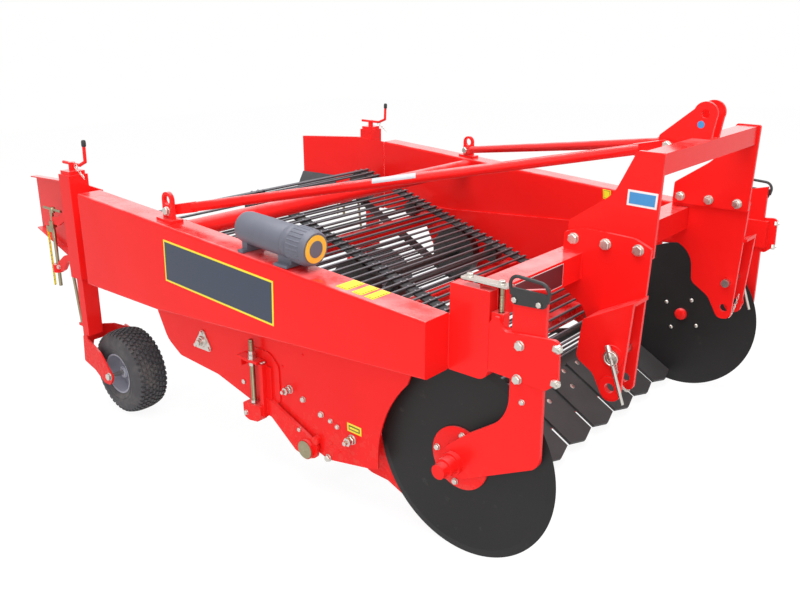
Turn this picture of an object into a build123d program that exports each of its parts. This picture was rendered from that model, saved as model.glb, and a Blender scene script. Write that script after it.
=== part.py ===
from build123d import *
import math
import os

# Potato lifter for a three-point linkage. Millimetres, +Z up, the headstock faces -Y.
# Everything is drawn level, then set down on its parked wheels and coulters by on_ground().

# parked stance and fits
PARK_PITCH = 2.7
SEAT = 0.3
RUNNING = 0.1

# side beams
BEAM_OUT = 933.0
BEAM_WIDTH = 103.0
BEAM_WALL = 5.0
BEAM_FOLD = 9.0
BEAM_REAR = 876.0
BEAM_FRONT = -825.0
BEAM_TOP_REAR = 864.0
BEAM_TOP_FRONT = 761.0
BEAM_BOTTOM_REAR = 500.0
BEAM_KNEE_Y = 416.0
BEAM_KNEE_Z = 503.0
BEAM_BOTTOM_FRONT = 595.0

# rear wings and their rubber flaps
WING_SHEET = 5.0
WING_BEND_Y = 1067.0
WING_REAR_Y = 1467.0
WING_TAPER = 32.0
WING_BEND_TOP = 872.0
WING_REAR_TOP = 845.0
WING_REAR_BOTTOM = 612.0
WING_KNEE_Y = 1000.0
WING_FLANGE = 24.0
FLAP_DROP = 95.0
FLAP_LAP = 30.0
FLAP_FRONT_Y = 1215.0
FLAP_REAR_Y = 1530.0
FLAP_THICK = 8.0

# side panels under the beams
PANEL_SHEET = 6.0
PANEL_LAP = 60.0
PANEL_REAR = 600.0
PANEL_FRONT = -711.0
PANEL_EDGE = [  # y, z and corner radius, down the rear edge and along the bottom
    (515, 335, 90), (440, 288, 40), (215, 274, 60), (-345, 134, 60), (-568, 178, 46)]
PANEL_FRONT_ARC = (-979.0, 212.0, 417.0)

# cross tubes
REAR_TUBE_R = 33.0
REAR_TUBE_Y = 335.0
REAR_TUBE_Z = 793.0
FRONT_TUBE = 80.0
FRONT_TUBE_Y = -937.0
FRONT_TUBE_Z = 818.0
TUBE_WALL = 6.0
INNER_TUBE = 60.0
INNER_TUBES = [(-330, 150), (40, 130), (560, 118)]  # y, depth below the web

# lifting lugs and braces
LUG_Y = 356.0
LUG_THICK = 14.0
LUG_HEIGHT = 102.0
LUG_R = 28.0
LUG_EYE_R = 17.0
LUG_FOOT = (84.0, 52.0, 10.0)
LUG_BOLT_RISE = 36.0
BRACE_R = 17.0
BRACE_GAP = 14.0
BRACE_TANG = (100.0, 36.0, 12.0)
BRACE_END = (52.0, -1040.0, 1134.0)

# headstock
HITCH_X = 384.0
HITCH_SHEET = 12.0
HITCH_EDGE = [  # y, z and corner radius of the lower plates
    (-1185, 905, 6), (-1134, 927, 60), (-974, 933, 60), (-914, 912, 10), (-914, 745, 6), (-1004, 692, 90),
    (-1014, 588, 30), (-1080, 545, 60), (-1124, 468, 26), (-1168, 478, 22)]
MAST_TOP = 1168.0
MAST_EDGE = [  # y, z and corner radius of the upper plates
    (-1192, MAST_TOP, 8), (-1114, MAST_TOP, 10), (-1054, 1040, 120), (-920, 945, 12), (-918, 872, 8),
    (-1185, 872, 8)]
EAR_X = 478.0
EAR_TOP = [(-1189, 775), (-1042, 695)]  # y, z of the folded top edge
EAR_EDGE = [  # y, z and corner radius of the rest of the outboard ears
    (-1028, 576, 24), (-1084, 542, 40), (-1124, 466, 28), (-1170, 478, 24)]
EAR_FOLD = 12.0
EAR_BOSS_R = 34.0
EAR_BOSS = 5.0
PIN_Y = -1141.0
PIN_Z = 608.0
HOLE_Z = 513.0
LOWER_BORE = 14.5
LOWER_PIN = 14.0
PIN_HEAD = (22.0, 7.0)
PIN_TAIL = 17.0
MAST_TUBE = 60.0
MAST_TUBE_Y = -1154.0
CLEVIS_GAP = 52.0
CLEVIS_SHEET = 10.0
CLEVIS_Y = -1156.0
CLEVIS_Z = 1238.0
CLEVIS_R = 36.0
CLEVIS_FOOT_Y = -1020.0
CLEVIS_FOOT = 50.0
TOP_BORE = 13.0

# digging web
ROD_R = 5.5
ROD_SIDES = 8
ROD_PITCH = 40.0
ROD_GAP = 75.0
BELT_THICK = 7.0
BELT_WIDTH = 60.0
BELT_INSET = 37.0
WEB_RISE = 0.295
WEB_Z0 = 449.0
REAR_ROLLER = (925.0, 85.0)
NOSE_ROLLER = (-500.0, 68.0)
LOWER_ROLLER = (300.0, 384.0, 138.0)
TENSION_ROLLER = (-244.0, 137.0, 48.0)
DRIVE_SHAFT_R = 22.0
LOWER_SHAFT_R = 25.0
NOSE_SHAFT_R = 17.0
TENSION_SHAFT_R = 14.0
CARRIER_SHAFT_R = 11.0
CARRIER_R = 38.0
CARRIER_WIDTH = 50.0
CARRIERS_Y = (-200.0, 80.0, 580.0)
WHEEL_SIDES = 24

# web bearings and tensioners on the side panels
BEARING_EDGE = [(-34, 44, 14), (42, -4, 14), (-20, -46, 14)]  # y, z from the shaft and corner radius
BEARING_SHEET = 10.0
BEARING_R = 30.0
BEARING_REACH = 26.0
TENSION_SHEET = 12.0
TENSION_ARM = [  # y, z and corner radius
    (-322, 212, 26), (-312, 140, 22), (-272, 124, 30), (-78, 196, 10), (-40, 206, 8), (-40, 268, 10)]
TENSION_BOSS_R = 29.0
TENSION_CHANNEL = (-84.0, -22.0, 200.0, 372.0)
TENSION_SHELF = (-66.0, 100.0, 384.0, 392.0)
TENSION_CLAMP = [(-48, 202, 12), (-48, 160, 24), (80, 152, 16), (80, 212, 10)]  # y, z and corner radius
TENSION_SCREW_Y = 4.0
TENSION_SCREW_R = 8.0
TENSION_SCREW_TOP = 472.0
TENSION_SCREW_BOTTOM = 190.0
TENSION_REACH = 24.0

# shares
BLADE_COUNT = 9
BLADE_GAP = 23.0
BLADE_POINT = 22.0
BLADE_THICK = 12.0
BLADE_LENGTH = 284.0
BLADE_REAR = (-591.0, 178.0)
BLADE_ANGLE = 30.0
BED_LENGTH = 179.0
BED_SHEET = 14.0
BED_DEPTH = 60.0
CHEEK_GAP = 57.0
CHEEK_SHEET = 10.0
CHEEK_TAIL = (-392.0, 165.0, 290.0)
SPACER_R = 14.0
SPACERS = [(-455, 192), (-425, 262)]  # y, z

# wheel posts, crank heads and height spindles
POST = 80.0
POST_WALL = 6.0
POST_Y = 1008.0
POST_TOP = 917.0
POST_BOTTOM = 492.0
POST_LEDGE = 14.0
CRANK_R = 6.5
CRANK_RISE = 40.0
CRANK_ARM = 104.0
CRANK_GRIP = 92.0
SPINDLE_REACH = 168.0
SPINDLE_R = 8.0
SPINDLE_TOP = 762.0
SPINDLE_BOTTOM = 412.0
SPINDLE_NUT = (672.0, 36.0)
SCALE_STRIP = (408.0, 10.0, 4.0, 20.0)

# wheel legs, forks and gauge wheels
LEG = 64.0
LEG_TOP = 780.0
LEG_BAR_GAP = 28.0
LEG_ARM_Z = 512.0
LEG_ARM = 28.0
WHEEL_INSET = 33.0
WHEEL_Y = 858.0
TYRE_R = 178.0
TYRE_WIDTH = 150.0
RIM_R = 84.0
RIM_DISH = 12.0
RIM_SHEET = 5.0
HUB_TUBE_R = 26.0
FORK_SHEET = 8.0
FORK_TOP = 300.0
FORK_GAP = 18.0
FORK_NECK = 34.0
AXLE_R = 9.0
AXLE_END = 14.0

# coulters
DISC_INSET = 47.0
DISC_Y = -842.5
DISC_R = 308.0
DISC_THICK = 6.0
DISC_BEVEL = 24.0
HUB_R = 74.0
HUB_THICK = 16.0
STUB_R = 15.0
BARREL = [(35, 16), (29, 46), (22, 71)]  # radius, reach beyond the arm
ARM_INSET = 22.0
ARM_SHEET = 14.0
ARM_EDGE = [  # y, z and corner radius, down the rear edge, round the hub and up the front edge
    (-1018, 860), (-1018, 505, 120), (-890, 416, 60), (-812, 350, 20), (-812, 290, 20), (-866, 262, 30),
    (-1118, 392, 44), (-1114, 884)]
ARM_EYE_R = 47.0
CLAMP_PROUD = 10.0
CLAMP_FOOT = 629.0
CLAMP_EDGE = [  # y, rise above the foot and corner radius
    (-954, 135, 30), (-978, 163, 10), (-1000, 119, 22), (-1160, 135, 16), (-1163, 23, 10), (-1129, -7, 18)]
CLAMP_PAD = (16.0, 121.0)
SCREW_LUG = (119.0, 161.0)
CPOST_WIDTH = 35.0
CPOST_DEPTH = 128.0
CPOST_TOP = 845.0
CPOST_BOTTOM = 595.0
CPOST_CORNER = 32.0
CPOST_WALL = 6.0
SCREW_R = 8.0
SCREW_REACH = 24.0
SCREW_BOTTOM = 690.0
SCREW_BAR = 16.0
HANDLE_SHEET = 7.7
HANDLE_R = 4.0
HANDLE_PLATE = [(-1014, 870, 6), (-1014, 829, 14), (-1116, 837, 14), (-1116, 882, 6)]  # y, z and corner radius
HANDLE_LOOP = [(-1016, 846), (-1003, 902), (-1044, 938), (-1100, 934), (-1132, 896), (-1112, 848)]  # y, z
HANDLE_BEND = 16.0

# canister on the near beam
CAN_R = 52.0
CAN_CAP_R = 57.0
CAN_CAP = 70.0
CAN_LENGTH = 360.0
CAN_REAR = -15.0
CAN_RISE = 70.0
CAN_SHIFT = 8.0
CAN_FOOT = (28.0, 60.0)

# places worked out from the sizes above, on the right-hand side unless they are half-widths
beam_in = BEAM_OUT - BEAM_WIDTH
panel_out = beam_in - SEAT
panel_in = panel_out - PANEL_SHEET - SEAT
outside = -panel_out - SEAT
rod_half = beam_in - ROD_GAP
belt_x = rod_half - BELT_INSET
cheek_in = panel_in - CHEEK_GAP
cheek_out = cheek_in + CHEEK_SHEET
disc_x = beam_in - DISC_INSET
arm_x = beam_in - ARM_INSET
arm_out = arm_x + ARM_SHEET
wheel_x = beam_in - WHEEL_INSET
post_x = -beam_in - SEAT - POST / 2
post_back = POST_Y + POST / 2
lug_x = -(BEAM_OUT + beam_in) / 2
cpost_in = beam_in - CPOST_WIDTH
cpost_front = BEAM_FRONT - CPOST_DEPTH


def floor_z(y):
    return -(y - DISC_Y) * math.tan(math.radians(PARK_PITCH))


def parked_y(y, z):
    return DISC_Y + (y - DISC_Y) * math.cos(math.radians(PARK_PITCH)) - z * math.sin(math.radians(PARK_PITCH))


def resting_z(y, radius):
    return floor_z(y) + radius / math.cos(math.radians(PARK_PITCH))


# the origin lies under the middle of the overall length, from the clevis to the flaps
flap_low = WING_REAR_BOTTOM - FLAP_DROP
origin_y = (parked_y(CLEVIS_Y, CLEVIS_Z) - CLEVIS_R + parked_y(FLAP_REAR_Y, flap_low)) / 2
wheel_z = resting_z(WHEEL_Y, TYRE_R)
disc_z = resting_z(DISC_Y, DISC_R)


def on_ground(shape):
    turn = Pos(0, DISC_Y, 0) * Rot(PARK_PITCH, 0, 0) * Pos(0, -DISC_Y, 0)
    return Pos(0, -origin_y, 0) * turn * shape


def save(node, shape):
    export_step(on_ground(shape), "parts/" + node + ".step")


def save_pair(node, shape):
    save(node + "_right", shape)
    save(node + "_left", mirror(shape, about=Plane.YZ))


def save_both(node, shape):
    save(node, Compound([shape, mirror(shape, about=Plane.YZ)]))


def rounded(corners):
    """A face from corners (first, second) or (first, second, radius), the latter with an arc."""
    turns = []
    for i, (a, b, *radius) in enumerate(corners):
        here = Vector(a, b)
        back = (Vector(*corners[i - 1][:2]) - here).normalized()
        ahead = (Vector(*corners[(i + 1) % len(corners)][:2]) - here).normalized()
        if radius:
            half = math.radians(back.get_angle(ahead)) / 2
            reach = radius[0] / math.tan(half)
            middle = here + (back + ahead).normalized() * (radius[0] / math.sin(half) - radius[0])
            turns.append((here + back * reach, middle, here + ahead * reach))
        else:
            turns.append((here, None, here))
    edges = []
    for i, (start, middle, end) in enumerate(turns):
        if middle:
            edges.append(ThreePointArc(start, middle, end))
        ahead = turns[(i + 1) % len(turns)][0]
        if (ahead - end).length > 0.001:
            edges.append(Line(end, ahead))
    return make_face(Curve() + edges)


def plate(corners, x0, thick):
    """A sheet drawn in the side view, from x0 towards +X."""
    return Pos(x0, 0, 0) * extrude(Plane.YZ * rounded(corners), amount=thick)


def block(x0, x1, y0, y1, z0, z1):
    return Pos((x0 + x1) / 2, (y0 + y1) / 2, (z0 + z1) / 2) * Box(x1 - x0, y1 - y0, z1 - z0)


def bar(a, b, radius):
    a, b = Vector(a), Vector(b)
    low = (Align.CENTER, Align.CENTER, Align.MIN)
    return Plane(origin=a, z_dir=b - a) * Cylinder(radius, (b - a).length, align=low)


def xbar(x0, x1, y, z, radius):
    return bar((x0, y, z), (x1, y, z), radius)


def xprism(x0, x1, y, z, radius, sides):
    return Pos(x0, y, z) * extrude(Plane.YZ * RegularPolygon(radius, sides), amount=x1 - x0)


def square_tube(half, y, z, size, wall):
    outer = block(-half, half, y - size / 2, y + size / 2, z - size / 2, z + size / 2)
    inner = size / 2 - wall
    return outer - block(-half - 1, half + 1, y - inner, y + inner, z - inner, z + inner)


def upright(x, y, size, z0, z1):
    return block(x - size / 2, x + size / 2, y - size / 2, y + size / 2, z0, z1)


def turned(profile, x, y, z):
    """A body of revolution about an axis along X, mirrored about its middle."""
    both = [(w, r) for r, w in profile] + [(-w, r) for r, w in reversed(profile)]
    return Pos(x, y, z) * revolve(rounded(both), axis=Axis.X)


def between(low, high, share):
    return low + (high - low) * share


def beam_top(y):
    return between(BEAM_TOP_FRONT, BEAM_TOP_REAR, (y - BEAM_FRONT) / (BEAM_REAR - BEAM_FRONT))


def beam_bottom(y):
    if y > BEAM_KNEE_Y:
        return between(BEAM_BOTTOM_REAR, BEAM_KNEE_Z, (BEAM_REAR - y) / (BEAM_REAR - BEAM_KNEE_Y))
    return between(BEAM_KNEE_Z, BEAM_BOTTOM_FRONT, (BEAM_KNEE_Y - y) / (BEAM_KNEE_Y - BEAM_FRONT))


def web_z(y):
    return WEB_Z0 + WEB_RISE * y


os.makedirs("parts", exist_ok=True)


# side beams, folded boxes closed by end plates
def beam_solid(inset, fold):
    side = [(BEAM_REAR - inset, BEAM_BOTTOM_REAR + inset), (BEAM_REAR - inset, BEAM_TOP_REAR - inset),
            (BEAM_FRONT + inset, BEAM_TOP_FRONT - inset), (BEAM_FRONT + inset, BEAM_BOTTOM_FRONT + inset),
            (BEAM_KNEE_Y, BEAM_KNEE_Z + inset)]
    solid = plate(side, -BEAM_OUT + inset, BEAM_WIDTH - 2 * inset)
    if fold:
        solid = fillet(solid.edges().filter_by(lambda edge: abs(edge.tangent_at(0).Y) > 0.7), fold)
    return solid


save_pair("beam", beam_solid(0, BEAM_FOLD) - beam_solid(BEAM_WALL, 0))

# rear wings, bent inwards, with a flange along the top and the bottom
wing_side = [(BEAM_REAR, BEAM_BOTTOM_REAR), (BEAM_REAR, BEAM_TOP_REAR), (WING_BEND_Y, WING_BEND_TOP),
             (WING_REAR_Y, WING_REAR_TOP), (WING_REAR_Y, WING_REAR_BOTTOM), (WING_KNEE_Y, BEAM_BOTTOM_REAR)]
wing_core = [(BEAM_REAR, BEAM_BOTTOM_REAR + WING_SHEET), (BEAM_REAR, BEAM_TOP_REAR - WING_SHEET),
             (WING_BEND_Y, WING_BEND_TOP - WING_SHEET), (WING_REAR_Y + 1, WING_REAR_TOP - WING_SHEET),
             (WING_REAR_Y + 1, WING_REAR_BOTTOM + WING_SHEET), (WING_KNEE_Y, BEAM_BOTTOM_REAR + WING_SHEET)]
wing_height = 2 * WING_BEND_TOP


def wing_x(y):
    return -beam_in + WING_TAPER * max(0, y - WING_BEND_Y) / (WING_REAR_Y - WING_BEND_Y)


def along_wing(stations, out, inn):
    """An upright slice that follows the wing's bend, from out beyond its outer face to inn inside it."""
    plan = [(wing_x(y) - out, y) for y in stations] + [(wing_x(y) + inn, y) for y in reversed(stations)]
    return extrude(make_face(Polyline(*plan, close=True)), amount=wing_height)


wing_outline = plate(wing_side, -BEAM_OUT, BEAM_OUT)
wing_inside = plate(wing_core, -BEAM_OUT, BEAM_OUT)
wing = along_wing((BEAM_REAR + SEAT, WING_BEND_Y, WING_REAR_Y), 0, WING_SHEET) & wing_outline
wing += along_wing((post_back + 6, WING_BEND_Y, WING_REAR_Y), WING_FLANGE, 0) & (wing_outline - wing_inside)
save_pair("rear_wing", wing)
flap_side = [(FLAP_FRONT_Y, WING_REAR_BOTTOM - 2 * FLAP_LAP), (FLAP_FRONT_Y + 20, WING_REAR_BOTTOM + FLAP_LAP),
             (WING_REAR_Y, WING_REAR_BOTTOM + FLAP_LAP), (FLAP_REAR_Y, flap_low, 6),
             (FLAP_REAR_Y - 40, flap_low - 8, 12)]
flap_in = WING_SHEET + SEAT
flap = along_wing((FLAP_FRONT_Y, FLAP_REAR_Y), -flap_in, flap_in + FLAP_THICK)
save_pair("rear_flap", flap & plate(flap_side, -BEAM_OUT, BEAM_OUT))

# side panels, lapped inside the beams, their front edge cut by a large arc
panel_top = [(y, beam_bottom(y) + PANEL_LAP) for y in (PANEL_FRONT, BEAM_KNEE_Y, PANEL_REAR)]
panel_heel = [(PANEL_REAR, beam_bottom(PANEL_REAR) - SEAT)]
panel_toe = [(-640, 400), (PANEL_FRONT, beam_bottom(PANEL_FRONT) - SEAT)]
panel = plate(panel_top + panel_heel + PANEL_EDGE + panel_toe, -panel_out, PANEL_SHEET)
arc_y, arc_z, arc_r = PANEL_FRONT_ARC
lower_y, lower_z, lower_r = LOWER_ROLLER
panel -= xbar(-beam_in - 1, -panel_in, arc_y, arc_z, arc_r) & block(
    -beam_in - 1, -panel_in, PANEL_FRONT, 0, 0, beam_bottom(PANEL_FRONT) - SEAT)
panel -= xbar(-beam_in - 1, -panel_in, lower_y, lower_z, LOWER_SHAFT_R + RUNNING)
save_pair("side_panel", panel)

# cross tubes between the beams, the front posts and the panels
tube_half = beam_in - SEAT
save("rear_cross_tube", xbar(-tube_half, tube_half, REAR_TUBE_Y, REAR_TUBE_Z, REAR_TUBE_R)
     - xbar(-beam_in, beam_in, REAR_TUBE_Y, REAR_TUBE_Z, REAR_TUBE_R - TUBE_WALL))
save("front_cross_tube", square_tube(cpost_in - SEAT, FRONT_TUBE_Y, FRONT_TUBE_Z, FRONT_TUBE, TUBE_WALL))
save("inner_cross_tubes", Compound([
    square_tube(panel_in, y, web_z(y) - depth, INNER_TUBE, TUBE_WALL) for y, depth in INNER_TUBES]))

# lifting lugs, one on each beam, and the braces bolted to them
lug_base = beam_top(LUG_Y) + SEAT
lug_eye = lug_base + LUG_HEIGHT - LUG_R
foot_length, foot_width, foot_thick = LUG_FOOT
foot_ends = (LUG_Y - foot_length / 2, LUG_Y + foot_length / 2)
lug_sides = (lug_x - LUG_THICK / 2, lug_x + LUG_THICK / 2)
lug = block(*lug_sides, LUG_Y - LUG_R, LUG_Y + LUG_R, lug_base + foot_thick / 2, lug_eye)
lug += xbar(*lug_sides, LUG_Y, lug_eye, LUG_R)
foot_edge = [(y, beam_top(y) + SEAT) for y in foot_ends]
foot_edge += [(y, beam_top(y) + foot_thick) for y in foot_ends[::-1]]
lug += plate(foot_edge, lug_x - foot_width / 2, foot_width)
save_pair("lifting_lug", lug - xbar(lug_x - foot_width, lug_x + foot_width, LUG_Y, lug_eye, LUG_EYE_R))

brace_start = Vector(lug_x + LUG_THICK / 2 + BRACE_GAP, LUG_Y, lug_base + LUG_BOLT_RISE)
brace_end = Vector(-BRACE_END[0], BRACE_END[1], BRACE_END[2])
along = (brace_end - brace_start).normalized()
tang_length, tang_width, tang_thick = BRACE_TANG
overlap = 0.7 * tang_length
brace = bar(brace_start + along * overlap, brace_end - along * overlap, BRACE_R)
for middle in (brace_start + along * overlap / 2, brace_end - along * overlap / 2):
    flat = Plane(origin=middle, x_dir=along, z_dir=Vector(0, 0, 1).cross(along))
    brace += flat * Box(tang_length, tang_width, tang_thick)
save_pair("brace", brace)

# headstock: lower plates, outboard ears with a folded top, pins and upper plates
plate_x = -HITCH_X - HITCH_SHEET
tube_room = FRONT_TUBE / 2 + SEAT
hitch = plate(HITCH_EDGE, plate_x, HITCH_SHEET)
for z in (PIN_Z, HOLE_Z):
    hitch -= xbar(plate_x - 1, -HITCH_X + 1, PIN_Y, z, LOWER_BORE)
hitch -= block(plate_x - 1, -HITCH_X + 1, FRONT_TUBE_Y - tube_room, FRONT_TUBE_Y + FRONT_TUBE,
               FRONT_TUBE_Z - tube_room, FRONT_TUBE_Z + tube_room)
save_pair("hitch_plate", hitch)
ear_out = -EAR_X - HITCH_SHEET
ear = plate(EAR_TOP + EAR_EDGE, ear_out, HITCH_SHEET)
for z in (PIN_Z, HOLE_Z):
    ear += xbar(ear_out - EAR_BOSS, ear_out, PIN_Y, z, EAR_BOSS_R)
for z in (PIN_Z, HOLE_Z):
    ear -= xbar(ear_out - EAR_BOSS - 1, -EAR_X + 1, PIN_Y, z, LOWER_BORE)
ear += plate(EAR_TOP + [(y, z - EAR_FOLD) for y, z in EAR_TOP[::-1]], -EAR_X, plate_x - SEAT + EAR_X)
save_pair("hitch_ear", ear)
head_r, head_thick = PIN_HEAD
pin_head = ear_out - EAR_BOSS - SEAT
pins = xbar(pin_head - PIN_TAIL, -HITCH_X + PIN_TAIL, PIN_Y, PIN_Z, LOWER_PIN)
save_both("hitch_pins", pins + xbar(pin_head - head_thick, pin_head, PIN_Y, PIN_Z, head_r))
save_pair("mast_plate", plate(MAST_EDGE, -HITCH_X + SEAT, HITCH_SHEET))

# mast tube between the upper plates, with the clevis for the top link
mast_half = HITCH_X - HITCH_SHEET - 2 * SEAT
mast_top = MAST_TOP - 4
mast_low = mast_top - CLEVIS_FOOT
head = square_tube(mast_half, MAST_TUBE_Y, mast_top - MAST_TUBE / 2, MAST_TUBE, TUBE_WALL)
clevis_edge = [(CLEVIS_Y - CLEVIS_R + 1, CLEVIS_Z), (MAST_TUBE_Y - MAST_TUBE / 2 + 4, mast_top - 4),
               (MAST_TUBE_Y + MAST_TUBE / 2 - 4, mast_top - 4), (MAST_TUBE_Y + MAST_TUBE / 2 - 4, mast_low, 6),
               (CLEVIS_FOOT_Y, mast_low, 16), (CLEVIS_FOOT_Y, mast_top, 14),
               (CLEVIS_Y + CLEVIS_R - 4, CLEVIS_Z + 14)]
for x0 in (-CLEVIS_GAP / 2 - CLEVIS_SHEET, CLEVIS_GAP / 2):
    head += plate(clevis_edge, x0, CLEVIS_SHEET) + xbar(x0, x0 + CLEVIS_SHEET, CLEVIS_Y, CLEVIS_Z, CLEVIS_R)
save("mast_head", head - xbar(-CLEVIS_GAP, CLEVIS_GAP, CLEVIS_Y, CLEVIS_Z, TOP_BORE))


# digging web: rods on rubber belts, carried by four sets of rollers
def web_ring():
    ends = [(y, web_z(y) - r * math.hypot(1, WEB_RISE), r) for y, r in (REAR_ROLLER, NOSE_ROLLER)]
    return ends + [TENSION_ROLLER, LOWER_ROLLER]


def web_spans(ring):
    """Each straight run from one roller to the next, with the angle of its outward normal."""
    spans = []
    for (y0, z0, r0), (y1, z1, r1) in zip(ring, ring[1:] + ring[:1]):
        lean = math.asin((r0 - r1) / math.hypot(y1 - y0, z1 - z0))
        out = math.atan2(z1 - z0, y1 - y0) - math.pi / 2 + lean
        spans.append(((y0, z0, r0), (y1, z1, r1), out))
    return spans


def rim(circle, angle, inset=0.0):
    y, z, r = circle
    return (y + (r - inset) * math.cos(angle), z + (r - inset) * math.sin(angle))


def turns(spans):
    for i, (start, end, out) in enumerate(spans):
        after = spans[(i + 1) % len(spans)][2]
        yield start, end, out, (after - out) % (2 * math.pi)


def web_face(spans, inset):
    edges = []
    for start, end, out, sweep in turns(spans):
        edges.append(Line(rim(start, out, inset), rim(end, out, inset)))
        edges.append(ThreePointArc(rim(end, out, inset), rim(end, out + sweep / 2, inset),
                                   rim(end, out + sweep, inset)))
    return make_face(Curve() + edges)


def web_stations(spans, pitch):
    """Evenly spaced points all the way around the loop."""
    legs = []
    for start, end, out, sweep in turns(spans):
        legs.append((math.dist(rim(start, out), rim(end, out)), start, end, out, 0.0))
        legs.append((sweep * end[2], end, end, out, sweep))
    total = sum(leg[0] for leg in legs)
    count = round(total / pitch)
    for n in range(count):
        s = total * (n + 0.5) / count
        for length, start, end, out, sweep in legs:
            if s <= length:
                if sweep:
                    yield rim(end, out + sweep * s / length)
                else:
                    (y0, z0), (y1, z1) = rim(start, out), rim(end, out)
                    yield (between(y0, y1, s / length), between(z0, z1, s / length))
                break
            s -= length


ring = web_ring()
spans = web_spans(ring)
rear, nose, tension, lower = ring


def above(y, z):
    return (z - nose[1]) * (rear[0] - nose[0]) > (rear[1] - nose[1]) * (y - nose[0])


belt_outside = ROD_R + SEAT
belt_inside = belt_outside + BELT_THICK
belts_x = (-belt_x, 0, belt_x)
band = Plane.YZ * (web_face(spans, belt_outside) - web_face(spans, belt_inside))
save("web_belts", Compound([Pos(x - BELT_WIDTH / 2, 0, 0) * extrude(band, amount=BELT_WIDTH) for x in belts_x]))
stations = list(web_stations(spans, ROD_PITCH))
for node, upper in (("web_rods_upper", True), ("web_rods_return", False)):
    rods = [xprism(-rod_half, rod_half, y, z, ROD_R, ROD_SIDES) for y, z in stations if above(y, z) == upper]
    save(node, Compound(rods))

# rollers inside the web, each on its shaft between the side panels
roller_inset = belt_inside + SEAT


def roller_set(y, z, radius, shaft_r, width, half=panel_in):
    rolls = xbar(-half, half, y, z, shaft_r)
    for x in belts_x:
        rolls += xprism(x - width / 2, x + width / 2, y, z, radius, WHEEL_SIDES)
    return rolls


wing_in = beam_in - WING_SHEET - SEAT
save("drive_shaft", roller_set(rear[0], rear[1], rear[2] - roller_inset, DRIVE_SHAFT_R, BELT_WIDTH, wing_in))
save("lower_rollers", roller_set(lower_y, lower_z, lower_r - roller_inset, LOWER_SHAFT_R, CARRIER_WIDTH))
tension_y, tension_z, tension_r = TENSION_ROLLER
tension_half = beam_in + TENSION_SHEET
roll_end = belt_x + BELT_WIDTH / 2
save("tension_roller", xbar(-tension_half, tension_half, tension_y, tension_z, TENSION_SHAFT_R)
     + xprism(-roll_end, roll_end, tension_y, tension_z, tension_r - roller_inset, WHEEL_SIDES))
carrier_drop = (roller_inset + CARRIER_R) * math.hypot(1, WEB_RISE)
roller_sets = [roller_set(nose[0], nose[1], nose[2] - roller_inset, NOSE_SHAFT_R, BELT_WIDTH, roll_end)]
roller_sets += [xbar(s * (roll_end + SEAT), s * panel_in, nose[0], nose[1], NOSE_SHAFT_R) for s in (-1, 1)]
for y in CARRIERS_Y:
    roller_sets.append(roller_set(y, web_z(y) - carrier_drop, CARRIER_R, CARRIER_SHAFT_R, CARRIER_WIDTH))
save("web_rollers", Compound(roller_sets))

# three-bolt bearings and web tensioners on the outside of the side panels
bearing_edge = [(lower_y + y, lower_z + z, r) for y, z, r in BEARING_EDGE]
bearing = plate(bearing_edge, outside - BEARING_SHEET, BEARING_SHEET)
save_both("lower_bearings", bearing + xbar(outside - BEARING_REACH, outside, lower_y, lower_z, BEARING_R))
arm = plate(TENSION_ARM, outside - TENSION_SHEET, TENSION_SHEET)
arm += xbar(outside - BEARING_REACH, outside, tension_y, tension_z, TENSION_BOSS_R)
arm -= xbar(outside - BEARING_REACH - 1, outside + 1, tension_y, tension_z, TENSION_SHAFT_R + SEAT)
y0, y1, z0, z1 = TENSION_CHANNEL
arm += block(outside - TENSION_SHEET + 4, outside, y0, y1, z0, z1)
y0, y1, z0, z1 = TENSION_SHELF
screw_x = outside - TENSION_REACH
arm += block(screw_x - 18, outside, y0, y1, z0, z1)
gusset = make_face(Polyline((outside, z0), (screw_x - 14, z0), (outside, z0 - 36), close=True))
for y in (y0 + 10, y1 - 2):
    arm += Pos(0, y, 0) * extrude(Plane.XZ * gusset, amount=8)
arm += plate(TENSION_CLAMP, screw_x - 6, TENSION_REACH + 6)
arm += bar((screw_x, TENSION_SCREW_Y, TENSION_SCREW_BOTTOM), (screw_x, TENSION_SCREW_Y, TENSION_SCREW_TOP),
           TENSION_SCREW_R)
arm += Pos(screw_x, TENSION_SCREW_Y, z1) * extrude(RegularPolygon(16, 6), amount=30)
save_pair("web_tensioner", arm)

# share blades with shallow points, on a carrier between two cheeks
slope = math.radians(BLADE_ANGLE)


def on_share(back, up):
    """A point on the share's slope, from the blades' rear edge (back is negative towards the tips)."""
    return (BLADE_REAR[0] + back * math.cos(slope) - up * math.sin(slope),
            BLADE_REAR[1] + back * math.sin(slope) + up * math.cos(slope))


blade_tip = (0, *on_share(-BLADE_LENGTH, 0))
share = Plane(origin=blade_tip, x_dir=(1, 0, 0), z_dir=(0, -math.sin(slope), math.cos(slope)))
blade_pitch = (2 * cheek_out - 3 + BLADE_GAP) / BLADE_COUNT
blade_half = (blade_pitch - BLADE_GAP) / 2
blade = extrude(share * make_face(Polyline(
    (0, 0), (blade_half, BLADE_POINT), (blade_half, BLADE_LENGTH), (-blade_half, BLADE_LENGTH),
    (-blade_half, BLADE_POINT), close=True)), amount=-BLADE_THICK)
save("share_blades", Compound([Pos((n - (BLADE_COUNT - 1) / 2) * blade_pitch, 0, 0) * blade
                               for n in range(BLADE_COUNT)]))
under = -BLADE_THICK - SEAT
bed = [(-BED_LENGTH, 0), (0, 0), (0, BED_DEPTH), (-BED_SHEET, BED_DEPTH), (-BED_SHEET, BED_SHEET),
       (BED_SHEET - BED_LENGTH, BED_SHEET)]
carrier = plate([on_share(back, under - down) for back, down in bed], -cheek_in, 2 * cheek_in)
tail_y, tail_low, tail_high = CHEEK_TAIL
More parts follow.
